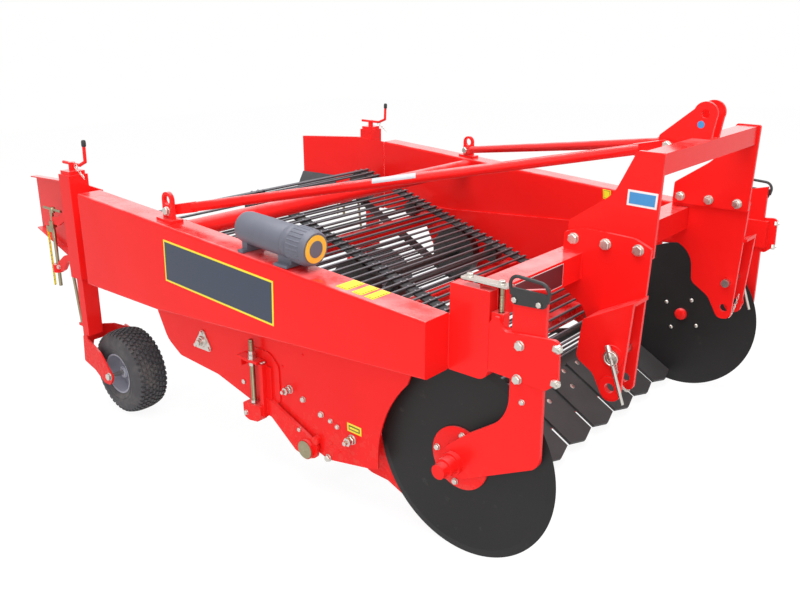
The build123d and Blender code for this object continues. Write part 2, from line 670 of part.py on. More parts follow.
cheek_edge = [on_share(-BED_LENGTH, under), on_share(0, under), (-560, 262, 40), (tail_y, tail_high, 24),
              (tail_y, tail_low, 30), (-480, 118, 60), on_share(0, under - BED_DEPTH),
              on_share(45 - BED_LENGTH, under - 40)]
for x0 in (-cheek_out, cheek_in):
    carrier += plate(cheek_edge, x0, CHEEK_SHEET)
carrier -= xbar(-beam_in, beam_in, nose[0], nose[1], NOSE_SHAFT_R + SEAT)
spacers = [xbar(s * (cheek_out + SEAT), s * panel_in, y, z, SPACER_R) for y, z in SPACERS for s in (-1, 1)]
save("share_carrier", Compound([carrier] + spacers))

# wheel posts behind the beams, each with a crank head on top
post = upright(post_x, POST_Y, POST, POST_BOTTOM, POST_TOP)
post -= upright(post_x, POST_Y, POST - 2 * POST_WALL, POST_BOTTOM - 1, POST_TOP - POST_WALL - 2)
post += upright(post_x, POST_Y, POST - POST_LEDGE, POST_TOP, POST_TOP + POST_LEDGE)
crank_z = POST_TOP + CRANK_RISE
post += bar((post_x, POST_Y, POST_TOP), (post_x, POST_Y, crank_z + CRANK_R), 2 * CRANK_R)
crank_y = POST_Y - CRANK_ARM
crank_runs = [  # start y, z and end y, z
    (POST_Y + 62, crank_z, POST_Y - 62, crank_z),
    (POST_Y - 60, crank_z, crank_y, crank_z + 18),
    (crank_y, crank_z + 16, crank_y - 4, crank_z + CRANK_GRIP)]
for start_y, start_z, end_y, end_z in crank_runs:
    post += bar((post_x, start_y, start_z), (post_x, end_y, end_z), CRANK_R)
save_pair("wheel_post", post)

# height spindles on the back of the posts: bracket, nut block, screw with T-bar and scale strip
spin_y = post_back + SPINDLE_REACH
nut_z, nut_size = SPINDLE_NUT
nut_half = nut_size / 2
nut_top = nut_z + nut_size
strip_bottom, strip_half, strip_thick, strip_gap = SCALE_STRIP
strip_y = spin_y + nut_half + strip_gap
spin = block(post_x - 5, post_x + 5, post_back + SEAT, spin_y + 10, nut_z + nut_half, nut_top + 27)
spin += block(post_x - nut_half, post_x + nut_half, spin_y - nut_half, spin_y + nut_half, nut_z, nut_top)
spin += bar((post_x, spin_y, SPINDLE_BOTTOM), (post_x, spin_y, SPINDLE_TOP), SPINDLE_R)
spin += bar((post_x, spin_y - 62, SPINDLE_TOP), (post_x, spin_y + 62, SPINDLE_TOP), 6)
spin += block(post_x - strip_half, post_x + strip_half, strip_y, strip_y + strip_thick, strip_bottom, nut_z + 4)
spin += block(post_x - strip_half, post_x + strip_half, spin_y, strip_y + strip_thick, nut_z, nut_z + 22)
save_pair("height_spindle", spin)

# wheel legs: inner tube, curved arm to the spindle and fork, sliding in the posts
leg = upright(post_x, POST_Y, LEG, FORK_TOP, LEG_TOP)
leg_back = post_back + LEG_BAR_GAP
low_arm = LEG_ARM_Z - LEG_ARM / 2
high_arm = low_arm + LEG_ARM
leg_arm = plate([(spin_y + 22, low_arm + 6, 10), (spin_y + 22, high_arm, 10), (spin_y - 44, high_arm, 60),
                 (leg_back, high_arm + 32, 8), (leg_back, low_arm - 6, 8), (spin_y - 14, low_arm, 40)],
                post_x - 8, 16)
leg_arm += bar((post_x, spin_y, low_arm + 2), (post_x, spin_y, high_arm - 2), 2 * SPINDLE_R)
leg += leg_arm - bar((post_x, spin_y, low_arm - 60), (post_x, spin_y, high_arm + 60), SPINDLE_R + 0.5)
fork_back = leg_back + 12
leg += block(post_x - 8, post_x + 8, leg_back, fork_back, FORK_TOP - 30, LEG_ARM_Z)
fork_out = wheel_x + TYRE_WIDTH / 2 + FORK_GAP
fork_in = wheel_x - TYRE_WIDTH / 2 - FORK_GAP
fork_front = POST_Y - 78
fork_sides = (-fork_out - FORK_SHEET, -fork_in + FORK_SHEET)
leg += block(*fork_sides, fork_front, fork_back, FORK_TOP - FORK_SHEET, FORK_TOP)
fork_edge = [(fork_front, FORK_TOP), (POST_Y + 62, FORK_TOP, 6), (POST_Y + 62, FORK_TOP - 42, 10),
             (POST_Y + 26, FORK_TOP - 114, 60), (WHEEL_Y + 24, wheel_z - 26, 18),
             (WHEEL_Y - 26, wheel_z - 26, 20), (WHEEL_Y - 26, wheel_z + FORK_NECK, 20),
             (fork_front + 20, FORK_TOP - 70, 50)]
for x0 in (-fork_out - FORK_SHEET, -fork_in):
    leg += plate(fork_edge, x0, FORK_SHEET)
axle = xbar(fork_sides[0] - AXLE_END, fork_sides[1] + AXLE_END, WHEEL_Y, wheel_z, AXLE_R)
save_pair("wheel_leg", leg + axle)

# gauge wheels: a wide tyre on a dished rim with a hub tube
tyre_half = TYRE_WIDTH / 2
tyre_profile = [(RIM_R, tyre_half - RIM_DISH), (TYRE_R - 30, tyre_half), (TYRE_R, tyre_half - 30)]
save_pair("tyre", turned(tyre_profile, -wheel_x, WHEEL_Y, wheel_z))
dish_out = RIM_R - SEAT
dish_in = dish_out - RIM_SHEET
rim_profile = [(AXLE_R + RUNNING, 40), (HUB_TUBE_R, 40), (HUB_TUBE_R, RIM_SHEET), (dish_in, RIM_SHEET),
               (dish_in, tyre_half - RIM_DISH), (dish_out, tyre_half - RIM_DISH)]
save_pair("rim", turned(rim_profile, -wheel_x, WHEEL_Y, wheel_z))

# front posts, folded boxes open below, with the depth screw on its bar
cpost_back = BEAM_FRONT - SEAT
cpost_corners = [(cpost_back, CPOST_TOP, 6), (cpost_front, CPOST_TOP, 6),
                 (cpost_front, CPOST_BOTTOM, CPOST_CORNER), (cpost_back, CPOST_BOTTOM)]
cpost = plate(cpost_corners, -beam_in, CPOST_WIDTH)
hollow = (-beam_in + CPOST_WALL, -cpost_in - CPOST_WALL)
hollow_back = cpost_back - CPOST_WALL
bend_z = CPOST_BOTTOM + CPOST_CORNER
cpost -= block(*hollow, cpost_front + CPOST_WALL, hollow_back, bend_z, CPOST_TOP - CPOST_WALL)
cpost -= block(*hollow, cpost_front + CPOST_CORNER, hollow_back, CPOST_BOTTOM - 1, bend_z)
save_pair("front_post", cpost)
depth_x, depth_y = -beam_in + 20, cpost_front - SCREW_REACH
bar_top = CPOST_TOP + SCREW_BAR
screw = block(-beam_in + 2, -cpost_in - 1, depth_y - 20, BEAM_FRONT - 36, CPOST_TOP + SEAT, bar_top)
screw += bar((depth_x, depth_y, SCREW_BOTTOM), (depth_x, depth_y, bar_top + 8), SCREW_R)
save_both("depth_screws", screw)

# coulter arms: curved flat arm with clamp plate, screw lug and stepped hub barrel, moved by the screw
coulter = plate(ARM_EDGE, -arm_out, ARM_SHEET) + xbar(-arm_out, -arm_x, DISC_Y, disc_z, ARM_EYE_R)
clamp_back = cpost_front - SEAT - 2
clamp_edge = [(y, CLAMP_FOOT + rise, r) for y, rise, r in CLAMP_EDGE] + [(clamp_back, CLAMP_FOOT)]
clamp_front = min(y for y, rise, r in CLAMP_EDGE)
pad_low, pad_high = (CLAMP_FOOT + rise for rise in CLAMP_PAD)
lug_low, lug_high = (CLAMP_FOOT + rise for rise in SCREW_LUG)
coulter += plate(clamp_edge, -arm_out - CLAMP_PROUD, CLAMP_PROUD)
coulter += block(-arm_out, -arm_x + CLAMP_PROUD, clamp_front + 30, clamp_back, pad_low, pad_high)
coulter += block(depth_x - SCREW_R - 6, -cpost_in - 1, depth_y - 16, clamp_back, lug_low, lug_high)
coulter += xbar(-arm_x, -disc_x + 2 * DISC_THICK, DISC_Y, disc_z, STUB_R)
for radius, reach in BARREL:
    coulter += xbar(-arm_out - reach, -arm_x, DISC_Y, disc_z, radius)
coulter -= bar((depth_x, depth_y, SCREW_BOTTOM - 50), (depth_x, depth_y, CPOST_TOP), SCREW_R + 0.2)
save_pair("coulter_arm", coulter)
handle = plate(HANDLE_PLATE, -arm_out - SEAT - HANDLE_SHEET, HANDLE_SHEET)
loop_x = -arm_out - SEAT - HANDLE_SHEET / 2
loop = FilletPolyline(*[(loop_x, y, z) for y, z in HANDLE_LOOP], radius=HANDLE_BEND)
handle += sweep(Plane(origin=loop @ 0, z_dir=loop % 0) * RegularPolygon(HANDLE_R, 8), path=loop)
save_pair("coulter_handle", handle)

# coulter discs with a bevelled edge, and their bolted hub flanges
disc_in = -disc_x + DISC_THICK / 2
disc_edge = [(0, STUB_R + RUNNING), (0, DISC_R), (-1.5, DISC_R), (-DISC_THICK, DISC_R - DISC_BEVEL),
             (-DISC_THICK, STUB_R + RUNNING)]
save_pair("coulter_disc", Pos(disc_in, DISC_Y, disc_z) * revolve(rounded(disc_edge), axis=Axis.X))
hub_in = disc_in - DISC_THICK - SEAT
hub = xbar(hub_in - HUB_THICK, hub_in, DISC_Y, disc_z, HUB_R)
save_pair("disc_hub", hub - xbar(hub_in - HUB_THICK - 1, hub_in + 1, DISC_Y, disc_z, STUB_R + RUNNING))

# document canister on the beam
can_x = lug_x + CAN_SHIFT
can_front = CAN_REAR - CAN_LENGTH


def can_point(y):
    return (can_x, y, beam_top(y) + CAN_RISE)


foot_length, foot_width = CAN_FOOT
can = bar(can_point(CAN_REAR), can_point(can_front), CAN_R)
can += bar(can_point(can_front + CAN_CAP), can_point(can_front), CAN_CAP_R)
for y in (CAN_REAR - 40, can_front + 100):
    ends = (y - foot_length / 2, y + foot_length / 2)
    edge = [(end, beam_top(end) + SEAT) for end in ends] + [(end, beam_top(y) + CAN_RISE) for end in ends[::-1]]
    can += plate(edge, can_x - foot_width / 2, foot_width)
save("canister", can)
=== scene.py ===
import math

import bmesh
import bpy
from mathutils import Matrix, Vector

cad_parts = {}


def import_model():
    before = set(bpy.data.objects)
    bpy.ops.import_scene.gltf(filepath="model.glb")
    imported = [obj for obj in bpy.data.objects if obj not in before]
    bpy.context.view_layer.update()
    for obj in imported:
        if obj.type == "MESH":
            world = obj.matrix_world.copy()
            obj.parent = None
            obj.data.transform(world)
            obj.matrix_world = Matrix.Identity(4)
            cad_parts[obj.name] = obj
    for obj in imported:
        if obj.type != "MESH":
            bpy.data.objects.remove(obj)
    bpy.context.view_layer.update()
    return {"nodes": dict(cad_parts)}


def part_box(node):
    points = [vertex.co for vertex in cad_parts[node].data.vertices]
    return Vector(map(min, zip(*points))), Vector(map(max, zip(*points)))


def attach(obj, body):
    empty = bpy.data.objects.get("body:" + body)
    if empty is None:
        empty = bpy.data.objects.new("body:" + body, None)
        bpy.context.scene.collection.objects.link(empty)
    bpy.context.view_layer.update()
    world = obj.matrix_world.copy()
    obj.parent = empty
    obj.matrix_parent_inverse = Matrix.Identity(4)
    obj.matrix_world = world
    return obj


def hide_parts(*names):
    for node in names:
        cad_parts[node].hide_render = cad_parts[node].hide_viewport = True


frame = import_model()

# Everything below is in metres and drawn level, then leaned by PARKED as the machine stands.
PARK_PITCH = math.radians(2.7)
DISC_Y = -0.8425
ORIGIN_Y = 0.126521
PARKED = (Matrix.Translation((0, DISC_Y - ORIGIN_Y, 0)) @ Matrix.Rotation(PARK_PITCH, 4, "X")
          @ Matrix.Translation((0, -DISC_Y, 0)))
LEVEL = PARKED.inverted()
SIDES = (("right", -1), ("left", 1))
SKIN = 0.0005

# Faces and middles of the iron that the trim sits on, out from the machine's middle
BEAM_OUT = 0.933
BEAM_IN = 0.830
PANEL_FACE = 0.8297
HITCH_OUT = 0.396
HITCH_IN = 0.3717
DISC_FACE = 0.7863
POST_X = 0.8703
SCREW_X = 0.810
CAN_X = -0.8735

# The front tube's front face, the depth screws and the height spindles, along the machine
TUBE_FRONT = -0.977
SCREW_Y = -0.977
SPINDLE_Y = 1.226

TYRE_R = 0.178
TYRE_WIDTH = 0.150
TREAD = 0.007
RIM_R = 0.084


# Shader maths

class Wire:
    """One output of a shader node. Sums and products of wires add their Math nodes."""

    def __init__(self, tree, socket):
        self.tree = tree
        self.socket = socket

    def maths(self, operation, first, second=0.0):
        return self.tree.node("Math", {"operation": operation}, {0: first, 1: second})

    def __add__(self, other):
        return self.maths("ADD", self, other)

    def __radd__(self, other):
        return self.maths("ADD", other, self)

    def __mul__(self, other):
        return self.maths("MULTIPLY", self, other)

    def __rmul__(self, other):
        return self.maths("MULTIPLY", other, self)

    def most(self, other):
        return self.maths("MAXIMUM", self, other)


class Tree:
    """A node tree, to which nodes are added one at a time."""

    def __init__(self, tree):
        self.tree = tree

    def node(self, kind, settings, inputs, output=0):
        node = self.tree.nodes.new("ShaderNode" + kind)
        for key, value in settings.items():
            setattr(node, key, value)
        for key, value in inputs.items():
            if isinstance(value, Wire):
                self.tree.links.new(value.socket, node.inputs[key])
            else:
                node.inputs[key].default_value = value
        return Wire(self, node.outputs[output])

    def seen(self):
        """One where the camera looks straight, by a mirror or through glass, else zero."""
        path = self.tree.nodes.new("ShaderNodeLightPath")
        rays = [Wire(self, path.outputs[n]) for n in ("Is Camera Ray", "Is Glossy Ray", "Is Transmission Ray")]
        return rays[0].most(rays[1]).most(rays[2])


class Paint(Tree):
    """One material: its node tree, its Principled shader and the textures that feed it."""

    def __init__(self, name, **constants):
        self.material = bpy.data.materials.new(name)
        self.material.use_nodes = True
        super().__init__(self.material.node_tree)
        self.shader = self.tree.nodes["Principled BSDF"]
        self.place = self.node("TexCoord", {}, {}, "Object")
        for socket, value in constants.items():
            self.shader.inputs[socket.replace("_", " ")].default_value = value

    def feed(self, socket, wire):
        self.tree.links.new(wire.socket, self.shader.inputs[socket])

    def noise(self, scale, detail=3.0, rough=0.5, place=None):
        inputs = {"Vector": place or self.place, "Scale": scale, "Detail": detail, "Roughness": rough}
        return self.node("TexNoise", {}, inputs)

    def step(self, value, low, high):
        return self.node("MapRange", {"clamp": True}, {"Value": value, "From Min": low, "From Max": high})

    def mix(self, factor, first, second):
        return self.node("Mix", {"data_type": "RGBA"}, {0: factor, 6: first, 7: second}, 2)

    def axis(self, letter):
        return self.node("SeparateXYZ", {}, {0: self.place}, letter)

    def facing(self, letter):
        normal = self.node("NewGeometry", {}, {}, "Normal")
        return self.node("SeparateXYZ", {}, {0: normal}, letter)

    def relief(self, height, strength, distance, soften=0.0):
        inputs = {"Height": height, "Strength": strength, "Distance": distance}
        if soften:
            inputs["Normal"] = self.node("Bevel", {"samples": 4}, {"Radius": soften})
        self.feed("Normal", self.node("Bump", {}, inputs))


def tone(red, green, blue):
    return (red, green, blue, 1.0)


def gloss_red():
    """Sprayed gloss enamel with orange peel, a painted pale pink reflection on upward faces and dull dusty
    patches low down.
    """
    paint = Paint("gloss_red", Coat_Roughness=0.14, Coat_IOR=2.1, Specular_IOR_Level=0.12)
    cloud = paint.noise(3.0, 4.0)
    peel = paint.noise(260.0, 2.0)
    fine = paint.noise(38.0, 5.0, 0.62)
    red = paint.mix(cloud, tone(0.80, 0.010, 0.009), tone(0.88, 0.016, 0.014))
    low = paint.step(paint.axis("Z"), 0.34, 0.02) * paint.step(fine, 0.48, 0.72)
    dusty = paint.mix(low * 0.35, red, tone(0.42, 0.22, 0.16))
    # film is a painted reflection: a pale pink sky reflection on upward faces, broken up by noise; the same
    # mask also roughens them
    film = paint.step(paint.facing("Z"), 0.55, 1.0) * paint.step(paint.noise(7.0, 6.0, 0.6), 0.4, 0.75)
    paint.feed("Base Color", paint.mix(film * 0.34, dusty, tone(0.88, 0.64, 0.66)))
    paint.feed("Roughness", 0.20 + 0.10 * fine + 0.25 * low + 0.12 * film)
    paint.feed("Coat Weight", 0.02 + 0.95 * paint.step(paint.facing("Z"), 0.75, 0.97))
    paint.relief(peel * 0.7 + fine * 0.3, 0.10, 0.0006, 0.0022)
    return paint.material


def black_coat(name, shade, rough, grain):
    """Black powder coat, mottled and finely pitted."""
    paint = Paint(name, Specular_IOR_Level=0.3)
    cloud = paint.noise(9.0, 6.0, 0.62)
    pits = paint.noise(grain, 3.0, 0.6)
    deep = tone(shade, shade * 0.97, shade * 0.99)
    dark = paint.mix(cloud, deep, tone(shade * 1.9, shade * 1.82, shade * 1.85))
    scuff = paint.step(paint.noise(24.0, 8.0, 0.7), 0.62, 0.78)
    paint.feed("Base Color", paint.mix(scuff * 0.30, dark, tone(0.11, 0.105, 0.10)))
    paint.feed("Roughness", rough + 0.16 * cloud + 0.1 * pits)
    paint.relief(pits, 0.22, 0.0008, 0.0015)
    return paint.material


def bare_metal(name, light, dark, rough, grain, soften=0.001):
    """Plated or bright metal with cloudy passivation and fine scratches."""
    paint = Paint(name, Metallic=1.0)
    cloud = paint.noise(26.0, 6.0, 0.65)
    scratch = paint.noise(grain, 4.0, 0.7)
    paint.feed("Base Color", paint.mix(cloud, dark, light))
    paint.feed("Roughness", rough + 0.22 * paint.step(scratch, 0.35, 0.8))
    paint.relief(scratch, 0.15, 0.0004, soften)
    return paint.material


def rod_metal():
    """Hot-rolled web rods: dark scale, with a painted highlight making their upward faces lighter."""
    paint = Paint("rod_metal", Metallic=0.75)
    scale = paint.noise(60.0, 6.0, 0.7)
    streak = paint.noise(14.0, 4.0)
    # Painted highlight: the rods' upward faces are made lighter, streaked by noise
    painted_top_highlight = paint.step(paint.facing("Z"), 0.1, 0.95) * (0.55 + 0.45 * streak)
    dark = paint.mix(scale, tone(0.060, 0.060, 0.066), tone(0.115, 0.112, 0.120))
    paint.feed("Base Color", paint.mix(painted_top_highlight * 0.6, dark, tone(0.34, 0.34, 0.37)))
    paint.feed("Roughness", 0.36 + 0.25 * scale)
    paint.relief(scale, 0.25, 0.0006)
    return paint.material


def rubber(name, shade, rough, dust):
    """Moulded rubber, dusty in its low places."""
    paint = Paint(name)
    cloud = paint.noise(12.0, 5.0, 0.6)
    grain = paint.noise(320.0, 3.0, 0.6)
    dark = paint.mix(cloud, tone(shade, shade, shade * 1.1), tone(shade * 1.7, shade * 1.65, shade * 1.8))
    paint.feed("Base Color", paint.mix(paint.step(cloud, 0.5, 0.8) * dust, dark, tone(0.21, 0.19, 0.17)))
    paint.feed("Roughness", rough + 0.2 * grain)
    paint.relief(grain, 0.3, 0.0005, 0.0012)
    return paint.material


def satin_coat(name, light, dark, rough):
    """Plain satin colour: rim paint, plastic and printed film."""
    paint = Paint(name)
    cloud = paint.noise(18.0, 5.0, 0.6)
    grain = paint.noise(420.0, 2.0)
    paint.feed("Base Color", paint.mix(cloud, dark, light))
    paint.feed("Roughness", rough + 0.15 * cloud)
    paint.relief(grain, 0.12, 0.0003, 0.0008)
    return paint.material


# Mesh making

def lathe(mesh, at, along, profile, segments=24, spin=0.0):
    """Turns (radius, height) pairs about an axis; a radius of zero closes the end."""
    turn = Vector(along).to_track_quat("Z", "Y").to_matrix()
    rings = []
    for radius, height in profile:
        ring = []
        for i in range(1 if radius == 0 else segments):
            angle = spin + 2 * math.pi * i / segments
            place = Vector((radius * math.cos(angle), radius * math.sin(angle), height))
            ring.append(mesh.verts.new(Vector(at) + turn @ place))
        rings.append(ring)
    for low, high in zip(rings, rings[1:]):
        for i in range(segments):
            j = (i + 1) % segments
            corners = [low[i % len(low)], low[j % len(low)], high[j % len(high)], high[i % len(high)]]
            mesh.faces.new(list(dict.fromkeys(corners)))


def rod(mesh, start, end, radius, segments=12):
    """A plain round bar with flat ends."""
    start, end = Vector(start), Vector(end)
    length = (end - start).length
    lathe(mesh, start, end - start, [(0, 0), (radius, 0), (radius, length), (0, length)], segments)


def tube(mesh, points, radius, closed=False, segments=8):
    """Bends a round bar through the points, turning its section along the way."""
    points = [Vector(p) for p in points]
    count = len(points)
    rings = []
    up = None
    for i, point in enumerate(points):
        before = points[i - 1] if closed or i else point
        after = points[(i + 1) % count] if closed or i < count - 1 else point
        along = (after - before).normalized()
        if up is None:
            up = along.orthogonal().normalized()
        up = (up - along * up.dot(along)).normalized()
        side = along.cross(up)
        turns = [2 * math.pi * k / segments for k in range(segments)]
        ring = [point + radius * (up * math.cos(turn) + side * math.sin(turn)) for turn in turns]
        rings.append([mesh.verts.new(corner) for corner in ring])
    pairs = list(zip(rings, rings[1:] + rings[:1])) if closed else list(zip(rings, rings[1:]))
    for low, high in pairs:
        for k in range(segments):
            mesh.faces.new([low[k], low[(k + 1) % segments], high[(k + 1) % segments], high[k]])
    if not closed:
        mesh.faces.new(rings[0][::-1])
        mesh.faces.new(rings[-1])


def arc(centre, radius, first, last, steps, plane="yz"):
    """Points on a circle in a plane square to an axis, by angles in degrees."""
    found = []
    for i in range(steps + 1):
        angle = math.radians(first + (last - first) * i / steps)
        a, b = radius * math.cos(angle), radius * math.sin(angle)
        found.append(Vector(centre) + Vector({"yz": (0, a, b), "xz": (a, 0, b), "xy": (a, b, 0)}[plane]))
    return found


def slab(mesh, corners, thick):
    """A thin plate on four or more corners, thickened along its own normal."""
    corners = [Vector(c) for c in corners]
    normal = (corners[1] - corners[0]).cross(corners[2] - corners[0]).normalized() * thick
    low = [mesh.verts.new(c) for c in corners]
    high = [mesh.verts.new(c + normal) for c in corners]
    mesh.faces.new(low[::-1])
    mesh.faces.new(high)
    for i in range(len(corners)):
        j = (i + 1) % len(corners)
        mesh.faces.new([low[i], low[j], high[j], high[i]])


def block(mesh, xs, ys, zs):
    """A box between two places along each axis."""
    (x0, x1), (y0, y1), (z0, z1) = sorted(xs), ys, zs
    slab(mesh, [(x0, y0, z0), (x1, y0, z0), (x1, y1, z0), (x0, y1, z0)], z1 - z0)


def rounded(corners, steps=6):
    """Points (y, z) around a plate's edge; a third number in a corner rounds it off."""
    points = []
    for i, (y, z, *radius) in enumerate(corners):
        here = Vector((0, y, z))
        back = (Vector((0, *corners[i - 1][:2])) - here).normalized()
        ahead = (Vector((0, *corners[(i + 1) % len(corners)][:2])) - here).normalized()
        if radius:
            half = back.angle(ahead) / 2
            middle = here + (back + ahead).normalized() * radius[0] / math.sin(half)
            first = here + back * radius[0] / math.tan(half) - middle
            last = here + ahead * radius[0] / math.tan(half) - middle
            for k in range(steps + 1):
                points.append(middle + first.slerp(last, k / steps).normalized() * radius[0])
        else:
            points.append(here)
    return points


def sheet(mesh, x0, x1, corners):
    """A flat plate drawn in the side view between two places along X."""
    edge = rounded(corners)
    low = [mesh.verts.new((x0, p.y, p.z)) for p in edge]
    high = [mesh.verts.new((x1, p.y, p.z)) for p in edge]
    mesh.faces.new(low[::-1])
    mesh.faces.new(high)
    for i in range(len(edge)):
        j = (i + 1) % len(edge)
        mesh.faces.new([low[i], low[j], high[j], high[i]])


def bolt(mesh, at, along, flats=0.019, washer=True, nut=False):
    """A hexagon head on a washer, or a nut with the end of its stud standing out."""
    base = 0.0020 if washer else 0.0
    if washer:
        lathe(mesh, at, along, [(flats * 0.62, 0), (flats * 0.62, base), (0, base)])
    corner, head = flats * 0.577, flats * 0.42
    top = base + head
    hexagon = [(corner, base), (corner, base + head * 0.82), (corner * 0.86, top), (0, top)]
    lathe(mesh, at, along, hexagon, 6, 0.4)
    if nut:
        lathe(mesh, at, along, [(flats * 0.3, top), (flats * 0.3, top + 0.007), (0, top + 0.007)], 12)


def weld(mesh, start, end, radius=0.004):
    """A fillet bead, rippled along its length."""
    start, end = Vector(start), Vector(end)
    length = (end - start).length
    count = max(4, int(length / 0.004))
    profile = [(0, 0)]
    for i in range(count + 1):
        profile.append((radius * (1.0 if i % 2 else 0.82), length * i / count))
    lathe(mesh, start, end - start, profile + [(0, length)], 8)


def piece(name, body, material, draw, smooth=40.0):
    """Draws a level mesh, leans it as the machine is parked and hands it to its body."""
    mesh = bmesh.new()
    draw(mesh)
    bmesh.ops.recalc_face_normals(mesh, faces=mesh.faces)
    mesh.transform(PARKED)
    data = bpy.data.meshes.new(name)
    mesh.to_mesh(data)
    mesh.free()
    data.materials.append(material)
    data.shade_smooth()
    data.set_sharp_from_angle(angle=math.radians(smooth))
    thing = bpy.data.objects.new(name, data)
    bpy.context.scene.collection.objects.link(thing)
    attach(thing, body)
    return thing


def both_sides(name, body, material, draw):
    """The same piece on each side: draw(mesh, s) gets -1 for the right and 1 for the left."""
    for side, s in SIDES:
        piece(name + "_" + side, body.replace("SIDE", side), material, lambda mesh: draw(mesh, s))


def mirrored_middle(box, s):
    """The middle of a right-hand wheel or disc, drawn level and moved to side s."""
    low, high = box
    middle = LEVEL @ ((Vector(low) + Vector(high)) / 2)
    return Vector((s * abs(middle.x), middle.y, middle.z))


# Finishes

RED = gloss_red()
BLACK = black_coat("black_coat", 0.009, 0.40, 240.0)
BLADE = black_coat("blade_coat", 0.030, 0.40, 180.0)
ZINC = bare_metal("zinc_plate", tone(0.72, 0.70, 0.66), tone(0.52, 0.49, 0.43), 0.26, 300.0)
YELLOW_ZINC = bare_metal("yellow_zinc", tone(0.44, 0.40, 0.27), tone(0.26, 0.22, 0.13), 0.34, 220.0)
RODS = rod_metal()
IRON = bare_metal("dark_iron", tone(0.12, 0.115, 0.115), tone(0.05, 0.048, 0.048), 0.45, 90.0)
TYRE = rubber("tyre_rubber", 0.044, 0.60, 0.50)
FLAP = rubber("flap_rubber", 0.055, 0.55, 0.25)
BELT = rubber("belt_rubber", 0.022, 0.65, 0.30)
RIM = satin_coat("rim_paint", tone(0.42, 0.43, 0.50), tone(0.30, 0.31, 0.37), 0.38)
PLASTIC = satin_coat("canister_plastic", tone(0.128, 0.131, 0.166), tone(0.088, 0.091, 0.118), 0.42)
GRIP = satin_coat("black_grip", tone(0.03, 0.03, 0.03), tone(0.015, 0.015, 0.015), 0.5)
SLATE = satin_coat("slate_film", tone(0.030, 0.042, 0.075), tone(0.024, 0.034, 0.062), 0.34)
YELLOW = satin_coat("yellow_film", tone(0.88, 0.74, 0.03), tone(0.80, 0.66, 0.02), 0.32)
AMBER = satin_coat("amber_film", tone(0.86, 0.50, 0.03), tone(0.74, 0.40, 0.02), 0.34)
SKY = satin_coat("sky_film", tone(0.05, 0.28, 0.58), tone(0.04, 0.22, 0.50), 0.34)
WHITE = satin_coat("white_film", tone(0.80, 0.80, 0.80), tone(0.68, 0.68, 0.68), 0.36)
SILVER = satin_coat("silver_film", tone(0.46, 0.47, 0.50), tone(0.34, 0.35, 0.38), 0.34)
PLUM = satin_coat("plum_film", tone(0.10, 0.018, 0.022), tone(0.06, 0.012, 0.015), 0.32)

FINISHES = (  # start of the node's name, its finish
    ("coulter_disc", BLACK), ("share_blades", BLADE), ("web_belts", BELT), ("rear_flap", FLAP), ("rim", RIM),
    ("depth_screws", YELLOW_ZINC), ("hitch_pins", ZINC), ("tension_roller", YELLOW_ZINC), ("drive_shaft", IRON),
    ("lower_rollers", IRON), ("web_rollers", IRON))


def dress_nodes():
    for name, thing in frame["nodes"].items():
        finish = next((paint for start, paint in FINISHES if name.startswith(start)), RED)
        for slot in thing.material_slots:
            slot.material = finish


# Gauge wheels

def tyre_skin(mesh, s):
    """A wide flotation tyre: rounded casing and eight staggered rows of small turf blocks."""
    centre = wheel_centre(s)
    half = TYRE_WIDTH / 2
    casing = TYRE_R - TREAD
    profile = [(RIM_R, -half + 0.016), (RIM_R + 0.006, -half + 0.008), (RIM_R + 0.018, -half + 0.003),
               (RIM_R + 0.030, -half + 0.0015), (casing - 0.052, -half), (casing - 0.030, -half + 0.004),
               (casing - 0.012, -half + 0.016), (casing - 0.003, -half + 0.036), (casing, -half + 0.060)]
    profile += [(r, -w) for r, w in reversed(profile)]
    lathe(mesh, centre, (1, 0, 0), profile, 96)
    for out in (-1, 1):
        for r in (RIM_R + 0.024, RIM_R + 0.040):
            ring = [(r - 0.002, half - 0.003), (r, half + 0.0002), (r + 0.002, half - 0.003)]
            lathe(mesh, centre, (out, 0, 0), ring, 96)
    rows, around = 8, 44
    pitch = 2 * math.pi / around
    for row in range(rows):
        across = (row + 0.5) / rows * 2 - 1
        for i in range(around):
            start = pitch * (i + 0.5 * (row % 2)) + 0.04 * math.cos(across * math.pi)
            tread_block(mesh, centre, across * 0.062, (start, start + 0.62 * pitch), casing)


def crown(w):
    """How far the tread falls away from the middle to its shoulders."""
    return 0.014 * (abs(w) / 0.068) ** 2.6


def tread_block(mesh, centre, middle, turn, casing):
    """One block between two angles, drawn in a little at its top."""
    corners = []
    for lift, inset in ((-0.004, 0.0), (0.0062, 0.0012)):
        for w, a in ((-1, 0), (1, 0), (1, 1), (-1, 1)):
            x = middle + w * (0.0062 - inset)
            angle = turn[a] + (inset / TYRE_R if a == 0 else -inset / TYRE_R)
            r = casing + lift - crown(x)
            corners.append(mesh.verts.new(centre + Vector((x, r * math.cos(angle), r * math.sin(angle)))))
    for face in ((4, 5, 6, 7), (0, 1, 5, 4), (1, 2, 6, 5), (2, 3, 7, 6), (3, 0, 4, 7)):
        mesh.faces.new([corners[i] for i in face])


def wheel_centre(s):
    return mirrored_middle(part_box("tyre_right"), s)


def wheel_trim(mesh, s):
    """Rolled rim edges, bearing seals and the valve."""
    centre = wheel_centre(s)
    for out in (-1, 1):
        lip = [(RIM_R - 0.006, 0.061), (RIM_R - 0.003, 0.0645), (RIM_R + 0.001, 0.0635), (RIM_R + 0.002, 0.060)]
        lathe(mesh, centre, (out, 0, 0), lip, 64)
        lathe(mesh, centre, (out, 0, 0), [(0.022, 0.040), (0.021, 0.043), (0.013, 0.043), (0.012, 0.040)], 32)
    valve = centre + Vector((s * 0.006, 0.0, 0.058))
    stem = [(0.0045, 0), (0.0045, 0.016), (0.0034, 0.018), (0.0034, 0.030), (0, 0.031)]
    lathe(mesh, valve, (s, 0, 0.35), stem, 12)


